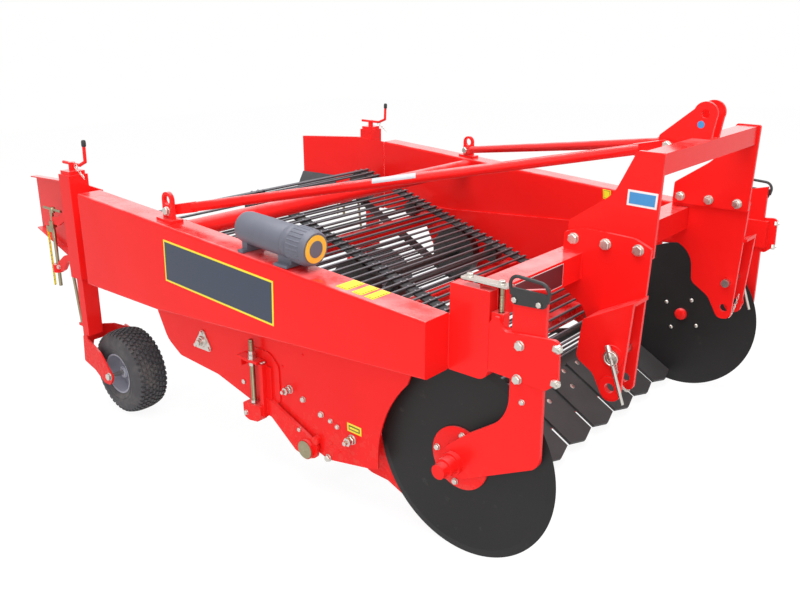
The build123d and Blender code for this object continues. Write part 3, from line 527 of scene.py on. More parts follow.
# The leg's tube and the fork's side plates, then y, z and corner radius around each iron; x, z for the bridge
LEG_REAR = 1.022
FORK_OUT = (0.890, 0.898)
FORK_IN = (0.704, 0.696)
FORK_EDGE = ((1.013, 0.266), (1.037, 0.228), (1.047, 0.118, 0.008), (0.968, 0.096, 0.03), (0.903, 0.056, 0.02),
             (0.862, 0.058, 0.014), (0.832, 0.096, 0.022), (0.919, 0.187, 0.04), (1.001, 0.222))
LEG_ARM_EDGE = ((1.208, 0.472), (1.208, 0.516, 0.01), (1.150, 0.556, 0.05), (1.066, 0.576, 0.01),
                (1.066, 0.546, 0.01), (1.128, 0.536, 0.05), (1.172, 0.484, 0.05))
BRIDGE_EDGE = ((0.698, 0.212), (0.866, 0.212), (0.882, 0.150), (0.896, 0.150), (0.896, 0.264), (0.815, 0.270),
               (0.763, 0.257), (0.715, 0.230), (0.698, 0.222))
SPINDLE_BRACKET = ((1.0485, 0.752), (1.0485, 0.706), (1.110, 0.712, 0.03), (1.170, 0.680, 0.01),
                   (SPINDLE_Y, 0.680, 0.006), (SPINDLE_Y, 0.712, 0.01), (1.175, 0.716, 0.03),
                   (1.110, 0.748, 0.04))
SCALE_FACE = 1.2748


def leg_iron(mesh, s):
    """Inner tube, tabs for its tie bar, curved arm with its collar, and the fork under a bridge plate."""
    x = s * POST_X
    block(mesh, (x - 0.032, x + 0.032), (0.978, LEG_REAR), (0.246, 0.780))
    for end, low, high in ((1.092, 0.262, 0.274), (1.070, 0.552, 0.570)):
        block(mesh, (x - 0.010, x + 0.010), (LEG_REAR, end), (low, high))
    sheet(mesh, x - 0.008, x + 0.008, LEG_ARM_EDGE)
    collar = [(0.0094, 0), (0.022, 0), (0.022, 0.034), (0.0094, 0.034)]
    lathe(mesh, (x, SPINDLE_Y, 0.470), (0, 0, 1), collar, 24)
    slab(mesh, [(s * across, 1.016, z) for across, z in BRIDGE_EDGE], 0.008)
    sheet(mesh, s * FORK_OUT[0], s * FORK_OUT[1], FORK_EDGE)
    sheet(mesh, s * FORK_IN[0], s * FORK_IN[1], FORK_EDGE[1:])


def leg_rods(mesh, s):
    """The axle with its nuts and the arm's pivot bolt."""
    _, y, z = wheel_centre(s)
    rod(mesh, (s * FORK_IN[0], y, z), (s * FORK_OUT[0], y, z), 0.0088, 16)
    for out, face in ((1, FORK_OUT[1]), (-1, FORK_IN[1])):
        bolt(mesh, (s * face, y, z), (s * out, 0, 0), 0.026)
    bolt(mesh, (s * (POST_X + 0.008), 1.203, 0.496), (s, 0, 0), 0.016)


def leg_bar(mesh, s):
    """The tie bar behind the leg's tube."""
    rod(mesh, (s * POST_X, 1.081, 0.268), (s * POST_X, 1.118, 0.556), 0.0066, 16)


def spindle_iron(mesh, s):
    """The red bracket that holds the height spindle behind its post."""
    sheet(mesh, s * POST_X - 0.005, s * POST_X + 0.005, SPINDLE_BRACKET)


def spindle_screw(mesh, s):
    """Height spindle with its T-bar, nut and the holder of its scale."""
    x = s * POST_X
    nut, grip = 0.664, 0.742
    rod(mesh, (x, SPINDLE_Y, 0.407), (x, SPINDLE_Y, grip), 0.0074, 16)
    thread(mesh, x, SPINDLE_Y, 0.618, nut, 0.0078)
    rod(mesh, (x, 1.146, grip), (x, 1.286, grip), 0.0056, 14)
    hub = [(0.011, 0), (0.012, 0.004), (0.012, 0.020), (0.010, 0.023), (0, 0.023)]
    lathe(mesh, (x, SPINDLE_Y - 0.010, grip - 0.014), (0, 0, 1), hub, 20)
    lathe(mesh, (x, SPINDLE_Y, nut), (0, 0, 1), [(0.0165, 0), (0.0165, 0.026), (0.0150, 0.028), (0, 0.028)], 6)
    block(mesh, (x - 0.004, x + 0.004), (SPINDLE_Y, 1.279), (0.640, nut))
    block(mesh, (x - 0.0030, x + 0.0030), (SCALE_FACE, SCALE_FACE + 0.0026), (0.398, nut))


def gauge_wheels():
    for side, s in SIDES:
        tyre = piece("gauge_tyre_" + side, "wheel_" + side, TYRE, lambda mesh: tyre_skin(mesh, s), 32)
        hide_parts("tyre_" + side)
        leg = piece("leg_iron_" + side, "leg_" + side, RED, lambda mesh: leg_iron(mesh, s))
        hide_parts("wheel_leg_" + side)
        screw = piece("spindle_screw_" + side, "frame", YELLOW_ZINC,
                      lambda mesh: spindle_screw(mesh, s))
        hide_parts("height_spindle_" + side)
    both_sides("rim_trim", "wheel_SIDE", RIM, wheel_trim)
    both_sides("leg_rods", "leg_SIDE", ZINC, leg_rods)
    both_sides("leg_bar", "leg_SIDE", YELLOW_ZINC, leg_bar)
    both_sides("spindle_iron", "frame", RED, spindle_iron)


# Rod web

ROD_HALF = 0.755
ROD_R = 0.0054
BELTS = (-0.718, 0.0, 0.718)
WEB_UP = Vector((0, -0.283, 0.959))


def rod_centres(node):
    """Where the rods of a CAD node run, from the corners of their left ends."""
    corners = [LEVEL @ vertex.co for vertex in frame["nodes"][node].data.vertices]
    end = max(corner.x for corner in corners)
    groups = []
    for corner in corners:
        if end - corner.x < 0.001:
            group = next((g for g in groups if (g[0] - corner).length < 0.014), None)
            if group:
                group.append(corner)
            else:
                groups.append([corner])
    return [sum(group, Vector()) / len(group) for group in groups]


def web_rods(mesh, node):
    """Round rods with two rivets on each belt, their heads on the crop's side."""
    for centre in rod_centres(node):
        y, z = centre.y, centre.z
        rod(mesh, (-ROD_HALF, y, z), (ROD_HALF, y, z), ROD_R, 12)
        if node == "web_rods_upper":
            for belt in BELTS:
                for x in (belt - 0.019, belt + 0.019):
                    seat = Vector((x, y, z)) + WEB_UP * 0.0040
                    head = [(0.0072, 0), (0.0066, 0.0030), (0.0040, 0.0044), (0, 0.0048)]
                    lathe(mesh, seat, WEB_UP, head, 10)


def rod_web():
    for node in ("web_rods_upper", "web_rods_return"):
        rods = piece("round_" + node, "frame", RODS, lambda mesh: web_rods(mesh, node))
        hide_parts(node)


# Bolts, studs and welds. Tables give y, z and the width across flats.

PANEL_BOLTS = ((0.063, 0.292, 0.017), (-0.236, 0.316, 0.017), (-0.319, 0.289, 0.017), (-0.361, 0.280, 0.013),
               (-0.391, 0.269, 0.013), (-0.345, 0.141, 0.021))
PANEL_STUDS = ((-0.172, 0.333, 0.024), (-0.454, 0.246, 0.027))
ARM_BOLTS = ((-0.227, 0.209, 0.014),)
BEARING_BOLTS = ((0.289, 0.418, 0.013), (0.253, 0.363, 0.013), (0.330, 0.361, 0.013))
CLAMP_BOLTS = ((-1.050, 0.724, 0.022), (-1.047, 0.631, 0.022))
ARM_END_BOLTS = ((-1.059, 0.566, 0.013),)
HANDLE_BOLTS = ((-1.027, 0.841, 0.014), (-1.098, 0.843, 0.014))
MAST_BOLTS = ((-0.946, 0.897, 0.027), (-1.048, 0.897, 0.027), (-1.147, 0.897, 0.027))

# The near lug's bolt, the front of its brace, and y, z of the clevis foot's bolt and the lower rollers' shaft
LUG = Vector((-0.8815, 0.356, 0.8688))
BRACE_FRONT = Vector((-0.052, -1.040, 1.134))
CLEVIS_FOOT = (-1.058, 1.138)
LOWER_SHAFT = (0.293, 0.382)

# The web tensioner: its faces, its screw and the arm's pivot, then y, z and corner radius around its irons
PLATE_FACE = 0.8345
ARM_FACE = 0.8466
TENSION_X = 0.856
TENSION_Y = -0.015
TENSION_PIVOT = (-0.263, 0.152)
TENSION_PLATE = ((0.075, 0.392, 0.01), (0.072, 0.250, 0.03), (-0.040, 0.225, 0.01), (-0.126, 0.270, 0.02),
                 (-0.124, 0.400, 0.03), (-0.080, 0.440, 0.04), (0.040, 0.440, 0.04))
TENSION_ARM = ((-0.312, 0.182, 0.020), (-0.306, 0.132, 0.022), (-0.268, 0.116, 0.030), (-0.206, 0.126, 0.02),
               (-0.090, 0.211, 0.02), (-0.050, 0.211, 0.008), (-0.050, 0.276, 0.010), (-0.096, 0.270, 0.02))
TENSION_FOOT = ((-0.062, 0.212, 0.01), (-0.050, 0.186, 0.02), (0.000, 0.178, 0.02), (0.028, 0.186, 0.014),
                (0.030, 0.240, 0.008), (-0.062, 0.246, 0.01))
PANEL_RIVETS = ((-0.360, 0.200), (-0.397, 0.183), (-0.138, 0.405), (-0.238, 0.474))


def row(mesh, s, x, table, **kind):
    """The bolts of one table, standing out of a face at x."""
    for y, z, flats in table:
        bolt(mesh, (s * x, y, z), (s, 0, 0), flats, **kind)


def panel_bolts(mesh, s):
    """Bolts of the side panel, and long studs with a second nut."""
    row(mesh, s, PANEL_FACE, PANEL_BOLTS)
    row(mesh, s, 0.842, ARM_BOLTS)
    for y, z, flats in PANEL_STUDS:
        bolt(mesh, (s * PANEL_FACE, y, z), (s, 0, 0), flats, nut=True)
        rod(mesh, (s * 0.835, y, z), (s * 0.868, y, z), flats * 0.27, 14)
        nut = [(flats * 0.56, 0), (flats * 0.56, 0.007), (flats * 0.3, 0.009)]
        lathe(mesh, (s * 0.848, y, z), (s, 0, 0), nut, 6)


def shaft_bearings(mesh):
    """Pressed three-bolt flanges with a short collar round the lower rollers' shaft."""
    edge = [(y, z, 0.013) for y, z in ((0.286, 0.438), (0.234, 0.352), (0.350, 0.350))]
    collar = [(0.022, 0), (0.019, 0.006), (0.0145, 0.007), (0.0145, 0.014), (0, 0.014)]
    back, face = 0.830, 0.834
    for _, s in SIDES:
        sheet(mesh, s * back, s * face, edge)
        lathe(mesh, (s * face, *LOWER_SHAFT), (s, 0, 0), collar, 32)
        bolt(mesh, (s * (face + 0.014), *LOWER_SHAFT), (s, 0, 0), 0.021, washer=False)
        row(mesh, s, face, BEARING_BOLTS)


def tension_iron(mesh, s):
    """Backing plate, shelf, folded channel, swinging arm and its foot, and the rivets beside them."""
    out = (s, 0, 0)
    sheet(mesh, s * 0.8300, s * PLATE_FACE, TENSION_PLATE)
    sheet(mesh, s * 0.8346, s * ARM_FACE, TENSION_ARM)
    sheet(mesh, s * 0.8346, s * 0.870, TENSION_FOOT)
    for face, ys, zs in ((0.869, (-0.052, 0.052), (0.398, 0.408)),
                         (0.856, (-0.052, -0.044), (0.366, 0.398)), (0.856, (0.044, 0.052), (0.366, 0.398)),
                         (0.860, (-0.070, -0.052), (0.206, 0.398)), (0.842, (-0.092, -0.070), (0.218, 0.390))):
        block(mesh, (s * PLATE_FACE, s * face), ys, zs)
    lathe(mesh, (s * ARM_FACE, *TENSION_PIVOT), out, [(0.034, 0), (0.034, 0.010), (0.032, 0.0112)], 40)
    pin = [(0.015, 0), (0.015, 0.016), (0.012, 0.019), (0, 0.019)]
    lathe(mesh, (s * PANEL_FACE, -0.299, 0.192), out, pin, 24)
    for y, z in PANEL_RIVETS:
        lathe(mesh, (s * PANEL_FACE, y, z), out, [(0.006, 0), (0.005, 0.002), (0, 0.003)], 14)


def tension_screw(mesh, s):
    """The web tensioner's upright screw, and the plated cover over the arm's pivot."""
    x, y = s * TENSION_X, TENSION_Y
    rod(mesh, (x, y, 0.210), (x, y, 0.478), 0.0078, 16)
    thread(mesh, x, y, 0.246, 0.396, 0.0084)
    thread(mesh, x, y, 0.440, 0.476, 0.0084)
    cover = [(0.0310, 0), (0.0310, 0.0015), (0.006, 0.0020), (0.005, 0.0010), (0, 0.0010)]
    lathe(mesh, (s * (ARM_FACE + 0.0112), *TENSION_PIVOT), (s, 0, 0), cover, 40)


def tension_nuts(mesh, s):
    """Two flanged nuts on the shelf, two plain ones below it, and the bolts of the foot and the channel."""
    x, y = s * TENSION_X, TENSION_Y
    for z, half in ((0.408, 0.013), (0.424, 0.012)):
        flange = [(half + 0.003, 0), (half + 0.003, 0.002)]
        nut = [(half, 0.002), (half, 0.013), (half - 0.003, 0.015), (0, 0.015)]
        lathe(mesh, (x, y, z), (0, 0, 1), flange + nut, 6)
    for z, high in ((0.384, 0.012), (0.246, 0.010)):
        lathe(mesh, (x, y, z), (0, 0, 1), [(0.0125, 0), (0.0125, high), (0, high)], 6)
    bolt(mesh, (s * 0.870, 0.012, 0.204), (s, 0, 0), 0.015)
    for x_at in (0.846, 0.856):
        bolt(mesh, (s * x_at, -0.064, 0.404), (0, 0, 1), 0.010, washer=False)


def mast_bolts(mesh, s):
    """Bolts through the hitch plate into the foot of the mast, with nuts inside."""
    row(mesh, s, HITCH_OUT, MAST_BOLTS)
    for y, z, flats in MAST_BOLTS:
        bolt(mesh, (s * HITCH_IN, y, z), (-s, 0, 0), flats, nut=True)


def brace_bolts(mesh, s):
    """A bolt through each lug and brace tang, and one through the clevis foot."""
    x, y, z = LUG
    rod(mesh, (-s * (x - 0.007), y, z), (-s * (x + 0.030), y, z), 0.0095, 16)
    bolt(mesh, (-s * (x - 0.007), y, z), (s, 0, 0), 0.026)
    bolt(mesh, (-s * (x + 0.027), y, z), (-s, 0, 0), 0.026)
    y, z = CLEVIS_FOOT
    rod(mesh, (s * 0.020, y, z), (s * 0.060, y, z), 0.0095, 16)
    bolt(mesh, (s * 0.058, y, z), (s, 0, 0), 0.024)


BLADES = 9
BLADE_PITCH = 0.174
SHARE_SLOPE = math.radians(30)
SHARE_UP = Vector((0, -math.sin(SHARE_SLOPE), math.cos(SHARE_SLOPE)))


def on_share(x, ahead):
    """A place on the blades' upper face, measured down their slope from the rear edge."""
    return Vector((x, -0.591 - ahead * math.cos(SHARE_SLOPE), 0.178 - ahead * math.sin(SHARE_SLOPE)))


def share_bolts(mesh):
    """Three countersunk ploughbolts to a blade."""
    head = [(0.0110, 0), (0.0104, 0.0016), (0.0050, 0.0024), (0, 0.0024)]
    for blade in range(BLADES):
        middle = (blade - (BLADES - 1) / 2) * BLADE_PITCH
        for shift, ahead in ((0.012, 0.092), (-0.018, 0.022), (0.046, 0.022)):
            lathe(mesh, on_share(middle + shift, ahead), SHARE_UP, head, 16)


def coulter_bolts(mesh, s):
    """Bolts of the coulter's clamp and grip, and two set screws in the clamp's front."""
    row(mesh, s, 0.832, CLAMP_BOLTS)
    row(mesh, s, 0.822, ARM_END_BOLTS)
    head = [(0.013, 0), (0.013, 0.010), (0.011, 0.013), (0, 0.014)]
    for z in (0.742, 0.650):
        lathe(mesh, (s * 0.828, -1.150, z), (0.35 * s, -1, 0), head, 6, 0.3)
        rod(mesh, (s * 0.828, -1.150, z), (s * 0.833, -1.168, z), 0.0060, 12)
    row(mesh, s, 0.830, HANDLE_BOLTS, washer=False)


def grip_plate(mesh, s):
    """The lifting grip: a bolted plate with a bent bar welded to its ends."""
    plate = [(-1.016, 0.872, 0.006), (-1.016, 0.828, 0.012), (-1.116, 0.834, 0.012), (-1.120, 0.872, 0.006)]
    sheet(mesh, s * 0.8224, s * 0.8296, plate)
    edge = [(-1.016, 0.852, 0.004), (-1.005, 0.904, 0.022), (-1.128, 0.896, 0.026), (-1.118, 0.850, 0.004)]
    tube(mesh, [Vector((s * 0.826, p.y, p.z)) for p in rounded(edge, 8)[5:-5]], 0.0050)


def disc_flange(mesh, s):
    """The wide red flange that the disc is bolted to."""
    centre = disc_centre(s)
    profile = [(0.016, 0), (0.097, 0), (0.097, 0.006), (0.094, 0.008), (0.052, 0.008),
               (0.048, 0.0158), (0.016, 0.0158)]
    lathe(mesh, (s * DISC_FACE, centre.y, centre.z), (s, 0, 0), profile, 64)


def disc_bolts(mesh, s):
    """Four bolts on the flange, and their round heads on the disc's inner face."""
    centre = disc_centre(s)
    head = [(0.009, 0), (0.008, 0.003), (0.005, 0.005), (0, 0.0055)]
    first = 8 if s < 0 else 29
    for angle in range(first, first + 360, 90):
        turn = math.radians(angle)
        y, z = centre.y + 0.078 * math.cos(turn), centre.z + 0.078 * math.sin(turn)
        bolt(mesh, (s * (DISC_FACE + 0.008), y, z), (s, 0, 0), 0.016)
        lathe(mesh, (s * 0.780, y, z), (-s, 0, 0), head, 16)


def disc_cap(mesh, s):
    """The domed red cap inside the disc, over the end of its stub."""
    x, y, z = disc_centre(s)
    dome = [(0.025, 0), (0.025, 0.009), (0.022, 0.014), (0.014, 0.017), (0, 0.018)]
    lathe(mesh, (x - s * 0.003, y, z), (-s, 0, 0), dome, 32)


def disc_centre(s):
    return mirrored_middle(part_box("coulter_disc_right"), s)


def screw_bridge(mesh, s):
    """The plated bar on the front post: a top strip and the two bolts that hold it."""
    block(mesh, (s * 0.7965, s * 0.8275), (-1.001, -0.858), (0.8612, 0.8680))
    for y in (-0.877, SCREW_Y):
        bolt(mesh, (s * 0.812, y, 0.868), (0, 0, 1), 0.017)


def gap_strips(mesh):
    """Black iron that shows between the blades."""
    half = Vector((0.0118, 0, 0))
    drop = Vector((0, 0, 0.002)) - SHARE_UP * 0.0125
    for gap in range(BLADES - 1):
        x = (gap - (BLADES - 2) / 2) * BLADE_PITCH
        low, high = [on_share(x, ahead) + drop for ahead in (0.176, 0.002)]
        slab(mesh, [low - half, low + half, high + half, high - half], 0.0015)


def share_apron(mesh):
    """Dark strip that carries the crop from the blades on to the web."""
    front, rear = (-0.592, 0.168), (-0.552, 0.176)
    slab(mesh, [(-0.74, *front), (0.74, *front), (0.74, *rear), (-0.74, *rear)], 0.004)


# Each bead: how far out it lies, then y, z of its two ends
WELDS = ((0.3965, (TUBE_FRONT, 0.779), (TUBE_FRONT, 0.857)), (0.3965, (TUBE_FRONT, 0.8585), (-0.914, 0.8585)),
         (0.7935, (-0.953, 0.779), (-0.953, 0.845)), (0.7935, (-0.953, 0.845), (-0.900, 0.845)),
         (0.8310, (0.9675, 0.506), (0.9675, 0.868)), (0.8310, (-0.8255, 0.600), (-0.8255, 0.756)))


def frame_welds(mesh, s):
    """Beads where the front tube meets the hitch plates and posts, and on the rear tube and wheel posts."""
    for x, start, end in WELDS:
        weld(mesh, (s * x, *start), (s * x, *end), 0.003)
    ring = arc((s * 0.8285, 0.335, 0.793), 0.034, 0, 360, 36)
    for start, end in zip(ring, ring[1:]):
        weld(mesh, start, end, 0.003)


def near_flap(mesh):
    """The right-hand flap, rolled up short behind its wing."""
    edge = [(1.232, 0.575), (1.246, 0.642), (1.466, 0.642), (1.466, 0.612), (1.400, 0.590, 0.05),
            (1.300, 0.552, 0.05), (1.232, 0.540)]
    sheet(mesh, -0.7985, -0.7925, edge)


def fasteners():
    both_sides("panel_bolts", "frame", ZINC, panel_bolts)
    both_sides("mast_bolts", "frame", ZINC, mast_bolts)
    both_sides("brace_bolts", "frame", ZINC, brace_bolts)
    piece("share_bolts", "frame", ZINC, share_bolts)
    both_sides("coulter_bolts", "coulter_SIDE", ZINC, coulter_bolts)
    both_sides("disc_bolts", "disc_SIDE", ZINC, disc_bolts)
    both_sides("disc_cap", "disc_SIDE", RED, disc_cap)
    both_sides("screw_bridge", "frame", ZINC, screw_bridge)
    piece("gap_strips", "frame", BLADE, gap_strips)
    piece("share_apron", "frame", BLADE, share_apron)
    bearings = piece("shaft_bearings", "frame", ZINC, shaft_bearings)
    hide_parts("lower_bearings")
    for side, s in SIDES:
        arm = piece("tension_iron_" + side, "frame", RED, lambda mesh: tension_iron(mesh, s))
        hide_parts("web_tensioner_" + side)
        grip = piece("grip_" + side, "coulter_" + side, GRIP, lambda mesh: grip_plate(mesh, s))
        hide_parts("coulter_handle_" + side)
        flange = piece("disc_flange_" + side, "disc_" + side, RED,
                       lambda mesh: disc_flange(mesh, s))
        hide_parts("disc_hub_" + side)
    both_sides("tension_screw", "frame", YELLOW_ZINC, tension_screw)
    both_sides("tension_nuts", "frame", ZINC, tension_nuts)
    both_sides("frame_welds", "frame", RED, frame_welds)
    flap = piece("near_flap", "frame", FLAP, near_flap)
    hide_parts("rear_flap_right")


# Screws, cranks and pins

def thread(mesh, x, y, low, high, radius, pitch=0.004):
    """A coarse screw thread on an upright bar, as rounded ridges."""
    profile = []
    for i in range(int((high - low) / pitch)):
        profile += [(radius - 0.0006, i * pitch), (radius + 0.0008, (i + 0.5) * pitch)]
    lathe(mesh, (x, y, low), (0, 0, 1), profile, 14)


def depth_rods(mesh):
    """Threaded rods that hang the coulter clamps from the bars on the front posts."""
    for _, s in SIDES:
        x = s * SCREW_X
        rod(mesh, (x, SCREW_Y, 0.690), (x, SCREW_Y, 0.866), 0.0056, 14)
        thread(mesh, x, SCREW_Y, 0.792, 0.844, 0.0060)
        thread(mesh, x, SCREW_Y, 0.692, 0.746, 0.0060)


def scale_film(mesh, s):
    """The yellow strip along the height spindle's scale."""
    x, y = s * POST_X, SCALE_FACE - 0.0006
    corners = [(x + i, y, z) for i, z in ((-0.0048, 0.400), (0.0048, 0.400), (0.0048, 0.650), (-0.0048, 0.650))]
    film(mesh, corners, (0, -1, 0), 0.0, 0.0)


def scale_marks(mesh, s):
    """Black strokes on the yellow strip, every third one longer."""
    left, y = s * POST_X - 0.0045, SCALE_FACE - 0.0014
    for i in range(13):
        low = 0.424 + 0.018 * i
        right = left + (0.008 if i % 3 == 0 else 0.004)
        high = low + 0.002
        slab(mesh, [(left, y, low), (left, y, high), (right, y, high), (right, y, low)], 0.0003)


def crank_cap(mesh, s):
    """The black knob on the end of a height crank."""
    profile = [(0.0074, 0), (0.0088, 0.002), (0.0088, 0.018), (0.0070, 0.024), (0, 0.026)]
    lathe(mesh, (s * POST_X, 0.9005, 1.034), (0, -0.05, 1), profile, 20)


def spring_clip(mesh, s):
    """A wire clip through the crank: a straight leg, a coil of an eye and a waved leg."""
    x = s * (POST_X + 0.011)
    eye = arc((x, 0.958, 0.951), 0.011, -40, 250, 14)
    waved = [(x, 0.936, 0.932), (x, 0.929, 0.935), (x, 0.921, 0.924), (x, 0.914, 0.926), (x, 0.904, 0.916)]
    tube(mesh, [(x, 0.902, 0.908), (x, 0.930, 0.925)] + eye[::-1] + waved, 0.0013)


def lynch_pin(mesh, s):
    """A linch pin through the end of the hitch pin, with its sprung ring."""
    x = s * 0.5115
    rod(mesh, (x, -1.136, 0.640), (x, -1.192, 0.484), 0.0050, 16)
    head = [(0.0050, -0.030), (0.0085, -0.026), (0.0085, 0.004), (0.006, 0.008), (0, 0.008)]
    lathe(mesh, (x, -1.136, 0.640), (0, 0.338, 0.941), head, 16)
    tube(mesh, arc((x + s * 0.006, -1.149, 0.612), 0.019, 0, 345, 23), 0.0020, True)


def pin_chain(mesh, s):
    """Fine links hanging from the pin's ring to a tab under the hitch plate."""
    start, end = Vector((s * 0.508, -1.160, 0.598)), Vector((s * 0.401, -1.160, 0.478))
    links, sag = 18, 0.100
    for i in range(links):
        share = (i + 0.5) / links
        middle = start.lerp(end, share) - Vector((0, 0, sag * share * (1 - share)))
        ahead = (end - start) - Vector((0, 0, sag * (1 - 2 * share)))
        along = ahead.normalized() * 0.0075
        side = along.cross(Vector((0, 1, 0)) if i % 2 else Vector((0.6, 0, 0.8))).normalized() * 0.0032
        turns = [math.pi * k / 5 for k in range(10)]
        loop = [middle + along * math.cos(turn) + side * math.sin(turn) for turn in turns]
        tube(mesh, loop, 0.0011, True, 5)


def screws_and_pins():
    rods = piece("depth_rods", "frame", YELLOW_ZINC, depth_rods)
    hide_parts("depth_screws")
    both_sides("crank_cap", "frame", GRIP, crank_cap)
    both_sides("spring_clip", "frame", ZINC, spring_clip)
    both_sides("lynch_pin", "frame", ZINC, lynch_pin)
    both_sides("pin_chain", "frame", ZINC, pin_chain)
    both_sides("scale_film", "frame", YELLOW, scale_film)
    both_sides("scale_marks", "frame", GRIP, scale_marks)


# Blank stickers

def beam_top(x, y, lift=0.0002):
    """A place above the beams' upper faces, which rise towards the rear."""
    return Vector((x, y, 0.761 + 0.103 * (y + 0.825) / 1.701 + lift))


def side_face(x, *corners):
    return [(x, y, z) for y, z in corners]


def film(mesh, corners, out, inset, lift):
    """One layer of a sticker, drawn in from its corners and lifted off the layer below."""
    corners = [Vector(corner) for corner in corners]
    out = Vector(out)
    if (corners[1] - corners[0]).cross(corners[2] - corners[0]).dot(out) < 0:
        corners.reverse()
    drawn = []
    for i, corner in enumerate(corners):
        ahead = (corners[(i + 1) % len(corners)] - corner).normalized()
        back = (corners[i - 1] - corner).normalized()
        drawn.append(corner + (ahead + back) * inset + out * lift)
    slab(mesh, drawn, SKIN)


def sticker(name, corners, out, *layers):
    """A blank sticker from its lowest layer up; each layer is a finish and how far it is drawn in."""
    for i, (finish, inset) in enumerate(layers):
        piece("%s_%d" % (name, i), "frame", finish,
              lambda mesh: film(mesh, corners, out, inset, i * SKIN))


def wrapped(mesh, start, end, radius, middle, spread):
    """A film bent round a bar: middle and spread are angles in degrees from the bar's upper side."""
    along = (end - start).normalized()
    side = along.cross(Vector((0, 0, 1))).normalized()
    up = side.cross(along)
    edges = []
    for k in range(13):
        turn = math.radians(middle + spread * (k / 12 - 0.5))
        out = (up * math.cos(turn) + side * math.sin(turn)) * (radius + SKIN)
        edges.append((mesh.verts.new(start + out), mesh.verts.new(end + out)))
    for (a, b), (c, d) in zip(edges, edges[1:]):
        mesh.faces.new((a, b, d, c))


def stickers():
    right = (-1, 0, 0)
    corners = side_face(-BEAM_OUT, (0.330, 0.781), (-0.234, 0.748), (-0.228, 0.600), (0.335, 0.631))
    sticker("beam_label", corners, right, (YELLOW, 0.0), (SLATE, 0.007))
    corners = side_face(-0.3837, (-1.096, 1.060), (-1.184, 1.058), (-1.182, 1.014), (-1.095, 1.016))
    sticker("mast_label", corners, right, (WHITE, 0.0), (SKY, 0.006))
    corners = side_face(-PANEL_FACE, (-0.433, 0.300), (-0.494, 0.299), (-0.494, 0.270), (-0.434, 0.271))
    sticker("panel_label", corners, right, (YELLOW, 0.0), (GRIP, 0.007), (YELLOW, 0.0105))
    corners = side_face(BEAM_IN, (-0.415, 0.779), (-0.453, 0.777), (-0.457, 0.735), (-0.419, 0.737))
    sticker("far_beam_label", corners, right, (YELLOW, 0.0), (GRIP, 0.004), (YELLOW, 0.0055))
    edge = ((-0.753, 0.851), (-0.503, 0.851), (-0.503, 0.785), (-0.753, 0.785))
    corners = [(x, TUBE_FRONT, z) for x, z in edge]
    sticker("tube_label", corners, (0, -1, 0), (WHITE, 0.0), (PLUM, 0.002))
    for n, (near, far) in enumerate(((-0.484, -0.529), (-0.546, -0.583), (-0.594, -0.627))):
        edge = ((-0.916, near), (-0.840, near), (-0.840, far), (-0.916, far))
        corners = [beam_top(x, y) for x, y in edge]
        sticker("top_label_%d" % n, corners, (0, 0, 1), (YELLOW, 0.0), (GRIP, 0.004), (YELLOW, 0.0055))
    start = Vector((LUG.x + 0.021, LUG.y, LUG.z))
    piece("brace_label", "frame", SILVER, lambda mesh: wrapped(
        mesh, start.lerp(BRACE_FRONT, 0.44), start.lerp(BRACE_FRONT, 0.53), 0.017, 38, 84))
    piece("clevis_dot", "frame", SKY, lambda mesh: lathe(
        mesh, (-0.036, -1.146, 1.206), right, [(0.011, 0), (0.011, SKIN), (0, SKIN)], 24))


# Canister

CAP_START = 0.268
CAP_END = 0.358


def can_axis(along):
    """A point on the canister's axis, measured from its rear end."""
    return beam_top(CAN_X, -0.015 - along, 0.070)


def can_body(mesh):
    """The canister's barrel, with its turned-in rear end and collar, on two saddles with bolted feet."""
    start, end = can_axis(0.0), can_axis(0.29)
    profile = [(0, 0.028), (0.038, 0.026), (0.048, 0.034), (0.051, 0.048), (0.052, 0.236), (0.050, 0.240),
               (0.050, 0.244), (0.053, 0.248), (0.053, 0.262), (0.050, 0.266), (0.050, 0.290)]
    lathe(mesh, start, end - start, profile, 48)
    for along, half in ((0.062, 0.012), (0.246, 0.030)):
        x, y, z = can_axis(along) - Vector((0, 0, 0.069))
        for shift, wide, high in ((0.0, 0.034, 0.034), (-0.043, 0.010, 0.008), (0.043, 0.010, 0.008)):
            block(mesh, (x + shift - wide, x + shift + wide), (y - half, y + half), (z, z + high))


def can_cap(mesh):
    """The screw cap with its grip ribs."""
    start, end = can_axis(CAP_START), can_axis(CAP_END)
    profile = [(0.050, 0), (0.0565, 0.004), (0.0565, 0.060), (0.053, 0.074), (0.049, 0.080), (0, 0.080)]
    lathe(mesh, start, end - start, profile, 48)
    along = (end - start).normalized()
    turn = along.to_track_quat("Z", "Y").to_matrix()
    ribs = 26
    for i in range(ribs):
        angle = 2 * math.pi * i / ribs
        low = start + turn @ Vector((math.cos(angle), math.sin(angle), 0)) * 0.0556 + along * 0.008
        rod(mesh, low, low + along * 0.052, 0.0026, 8)


def can_plate(mesh, radius, height):
    """A round film on the face of the cap."""
    start, end = can_axis(CAP_START), can_axis(CAP_END)
    lathe(mesh, start, end - start, [(radius, height - 0.001), (radius, height), (0, height)], 48)


def canister():
    body = piece("canister_body", "frame", PLASTIC, can_body)
    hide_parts("canister")
    piece("canister_cap", "frame", PLASTIC, can_cap)
    piece("canister_plate", "frame", AMBER, lambda mesh: can_plate(mesh, 0.043, 0.0815))
    piece("canister_centre", "frame", PLASTIC, lambda mesh: can_plate(mesh, 0.026, 0.0825))


# Studio

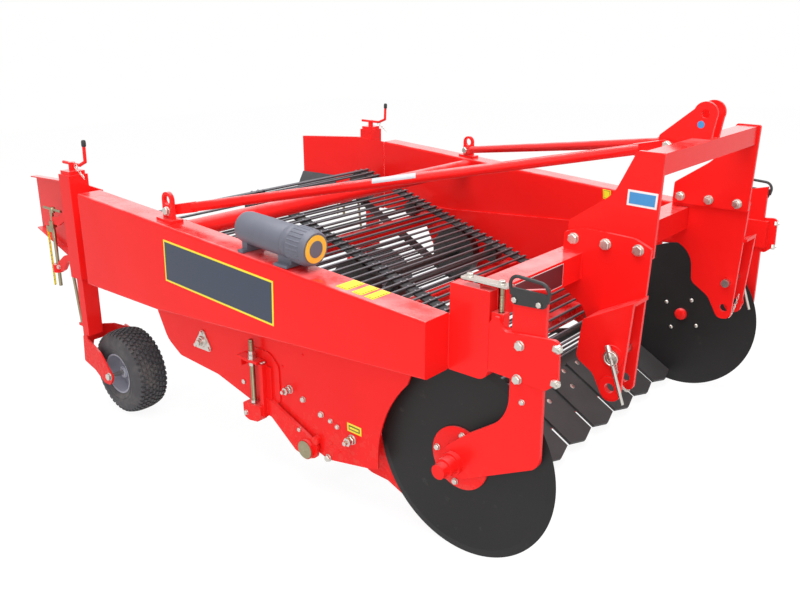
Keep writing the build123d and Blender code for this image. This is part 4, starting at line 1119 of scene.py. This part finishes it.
def floor_and_light():
    """A white floor that looks evenly lit but takes shadows, under two soft lamps."""
    half = 14.0
    data = bpy.data.meshes.new("studio_floor")
    corners = [(-half, -half, 0), (half, -half, 0), (half, half, 0), (-half, half, 0)]
    data.from_pydata(corners, [], [(0, 1, 2, 3)])
    floor = bpy.data.objects.new("studio_floor", data)
    bpy.context.scene.collection.objects.link(floor)
    paint = Paint("studio_white", Base_Color=tone(0.82, 0.82, 0.82), Roughness=0.9)
    glow = paint.node("Emission", {}, {"Color": tone(1, 1, 1), "Strength": 0.925})
    dim = paint.node("BsdfDiffuse", {}, {"Color": tone(0.12, 0.12, 0.12)})
    open_floor = paint.node("AddShader", {}, {0: glow, 1: dim})
    shader = Wire(paint, paint.shader.outputs[0])
    surface = paint.node("MixShader", {}, {0: paint.seen(), 1: shader, 2: open_floor})
    paint.tree.links.new(surface.socket, paint.tree.nodes["Material Output"].inputs["Surface"])
    data.materials.append(paint.material)
    for name, place, aim, width, watts in (
            ("overhead", (-0.6, -0.8, 4.2), (0, 0, 0.3), 4.0, 240.0),
            ("front_left", (-4.2, -2.8, 2.6), (0, 0, 0.5), 3.0, 74.0)):
        lamp = bpy.data.lights.new(name, "AREA")
        lamp.size = width
        lamp.energy = watts
        thing = bpy.data.objects.new(name, lamp)
        thing.location = place
        thing.rotation_euler = (Vector(aim) - Vector(place)).to_track_quat("-Z", "Y").to_euler()
        bpy.context.scene.collection.objects.link(thing)


def world():
    """A white surround that lights the machine less than it looks."""
    sky = bpy.data.worlds.new("studio")
    sky.use_nodes = True
    bpy.context.scene.world = sky
    tree = Tree(sky.node_tree)
    back = sky.node_tree.nodes["Background"]
    back.inputs["Color"].default_value = tone(1, 1, 1)
    strength = tree.node("MapRange", {}, {"Value": tree.seen(), "To Min": 0.56, "To Max": 1.0})
    sky.node_tree.links.new(strength.socket, back.inputs["Strength"])


def camera():
    """The photograph's viewpoint, solved level and then leaned with the machine."""
    turn, rise = math.radians(-49.58), math.radians(18.03)
    back = Vector((math.sin(turn) * math.cos(rise), -math.cos(turn) * math.cos(rise), math.sin(rise)))
    wide, high = 800, 591
    focal, middle = 830.29, (400.44, 281.93)
    eye = bpy.data.cameras.new("eye")
    eye.sensor_width = 36.0
    eye.lens = focal * eye.sensor_width / wide
    eye.shift_x = (wide / 2 - middle[0]) / wide
    eye.shift_y = (middle[1] - high / 2) / wide
    view = bpy.data.objects.new("eye", eye)
    right = Vector((0, 0, 1)).cross(back).normalized()
    up = back.cross(right)
    level = Matrix((right, up, back)).transposed().to_4x4()
    view.matrix_world = PARKED @ Matrix.Translation((-2.503, -2.078, 1.524)) @ level
    bpy.context.scene.collection.objects.link(view)
    bpy.context.scene.camera = view
    bpy.context.scene.view_settings.view_transform = "Standard"


dress_nodes()
gauge_wheels()
rod_web()
fasteners()
screws_and_pins()
stickers()
canister()
floor_and_light()
world()
camera()
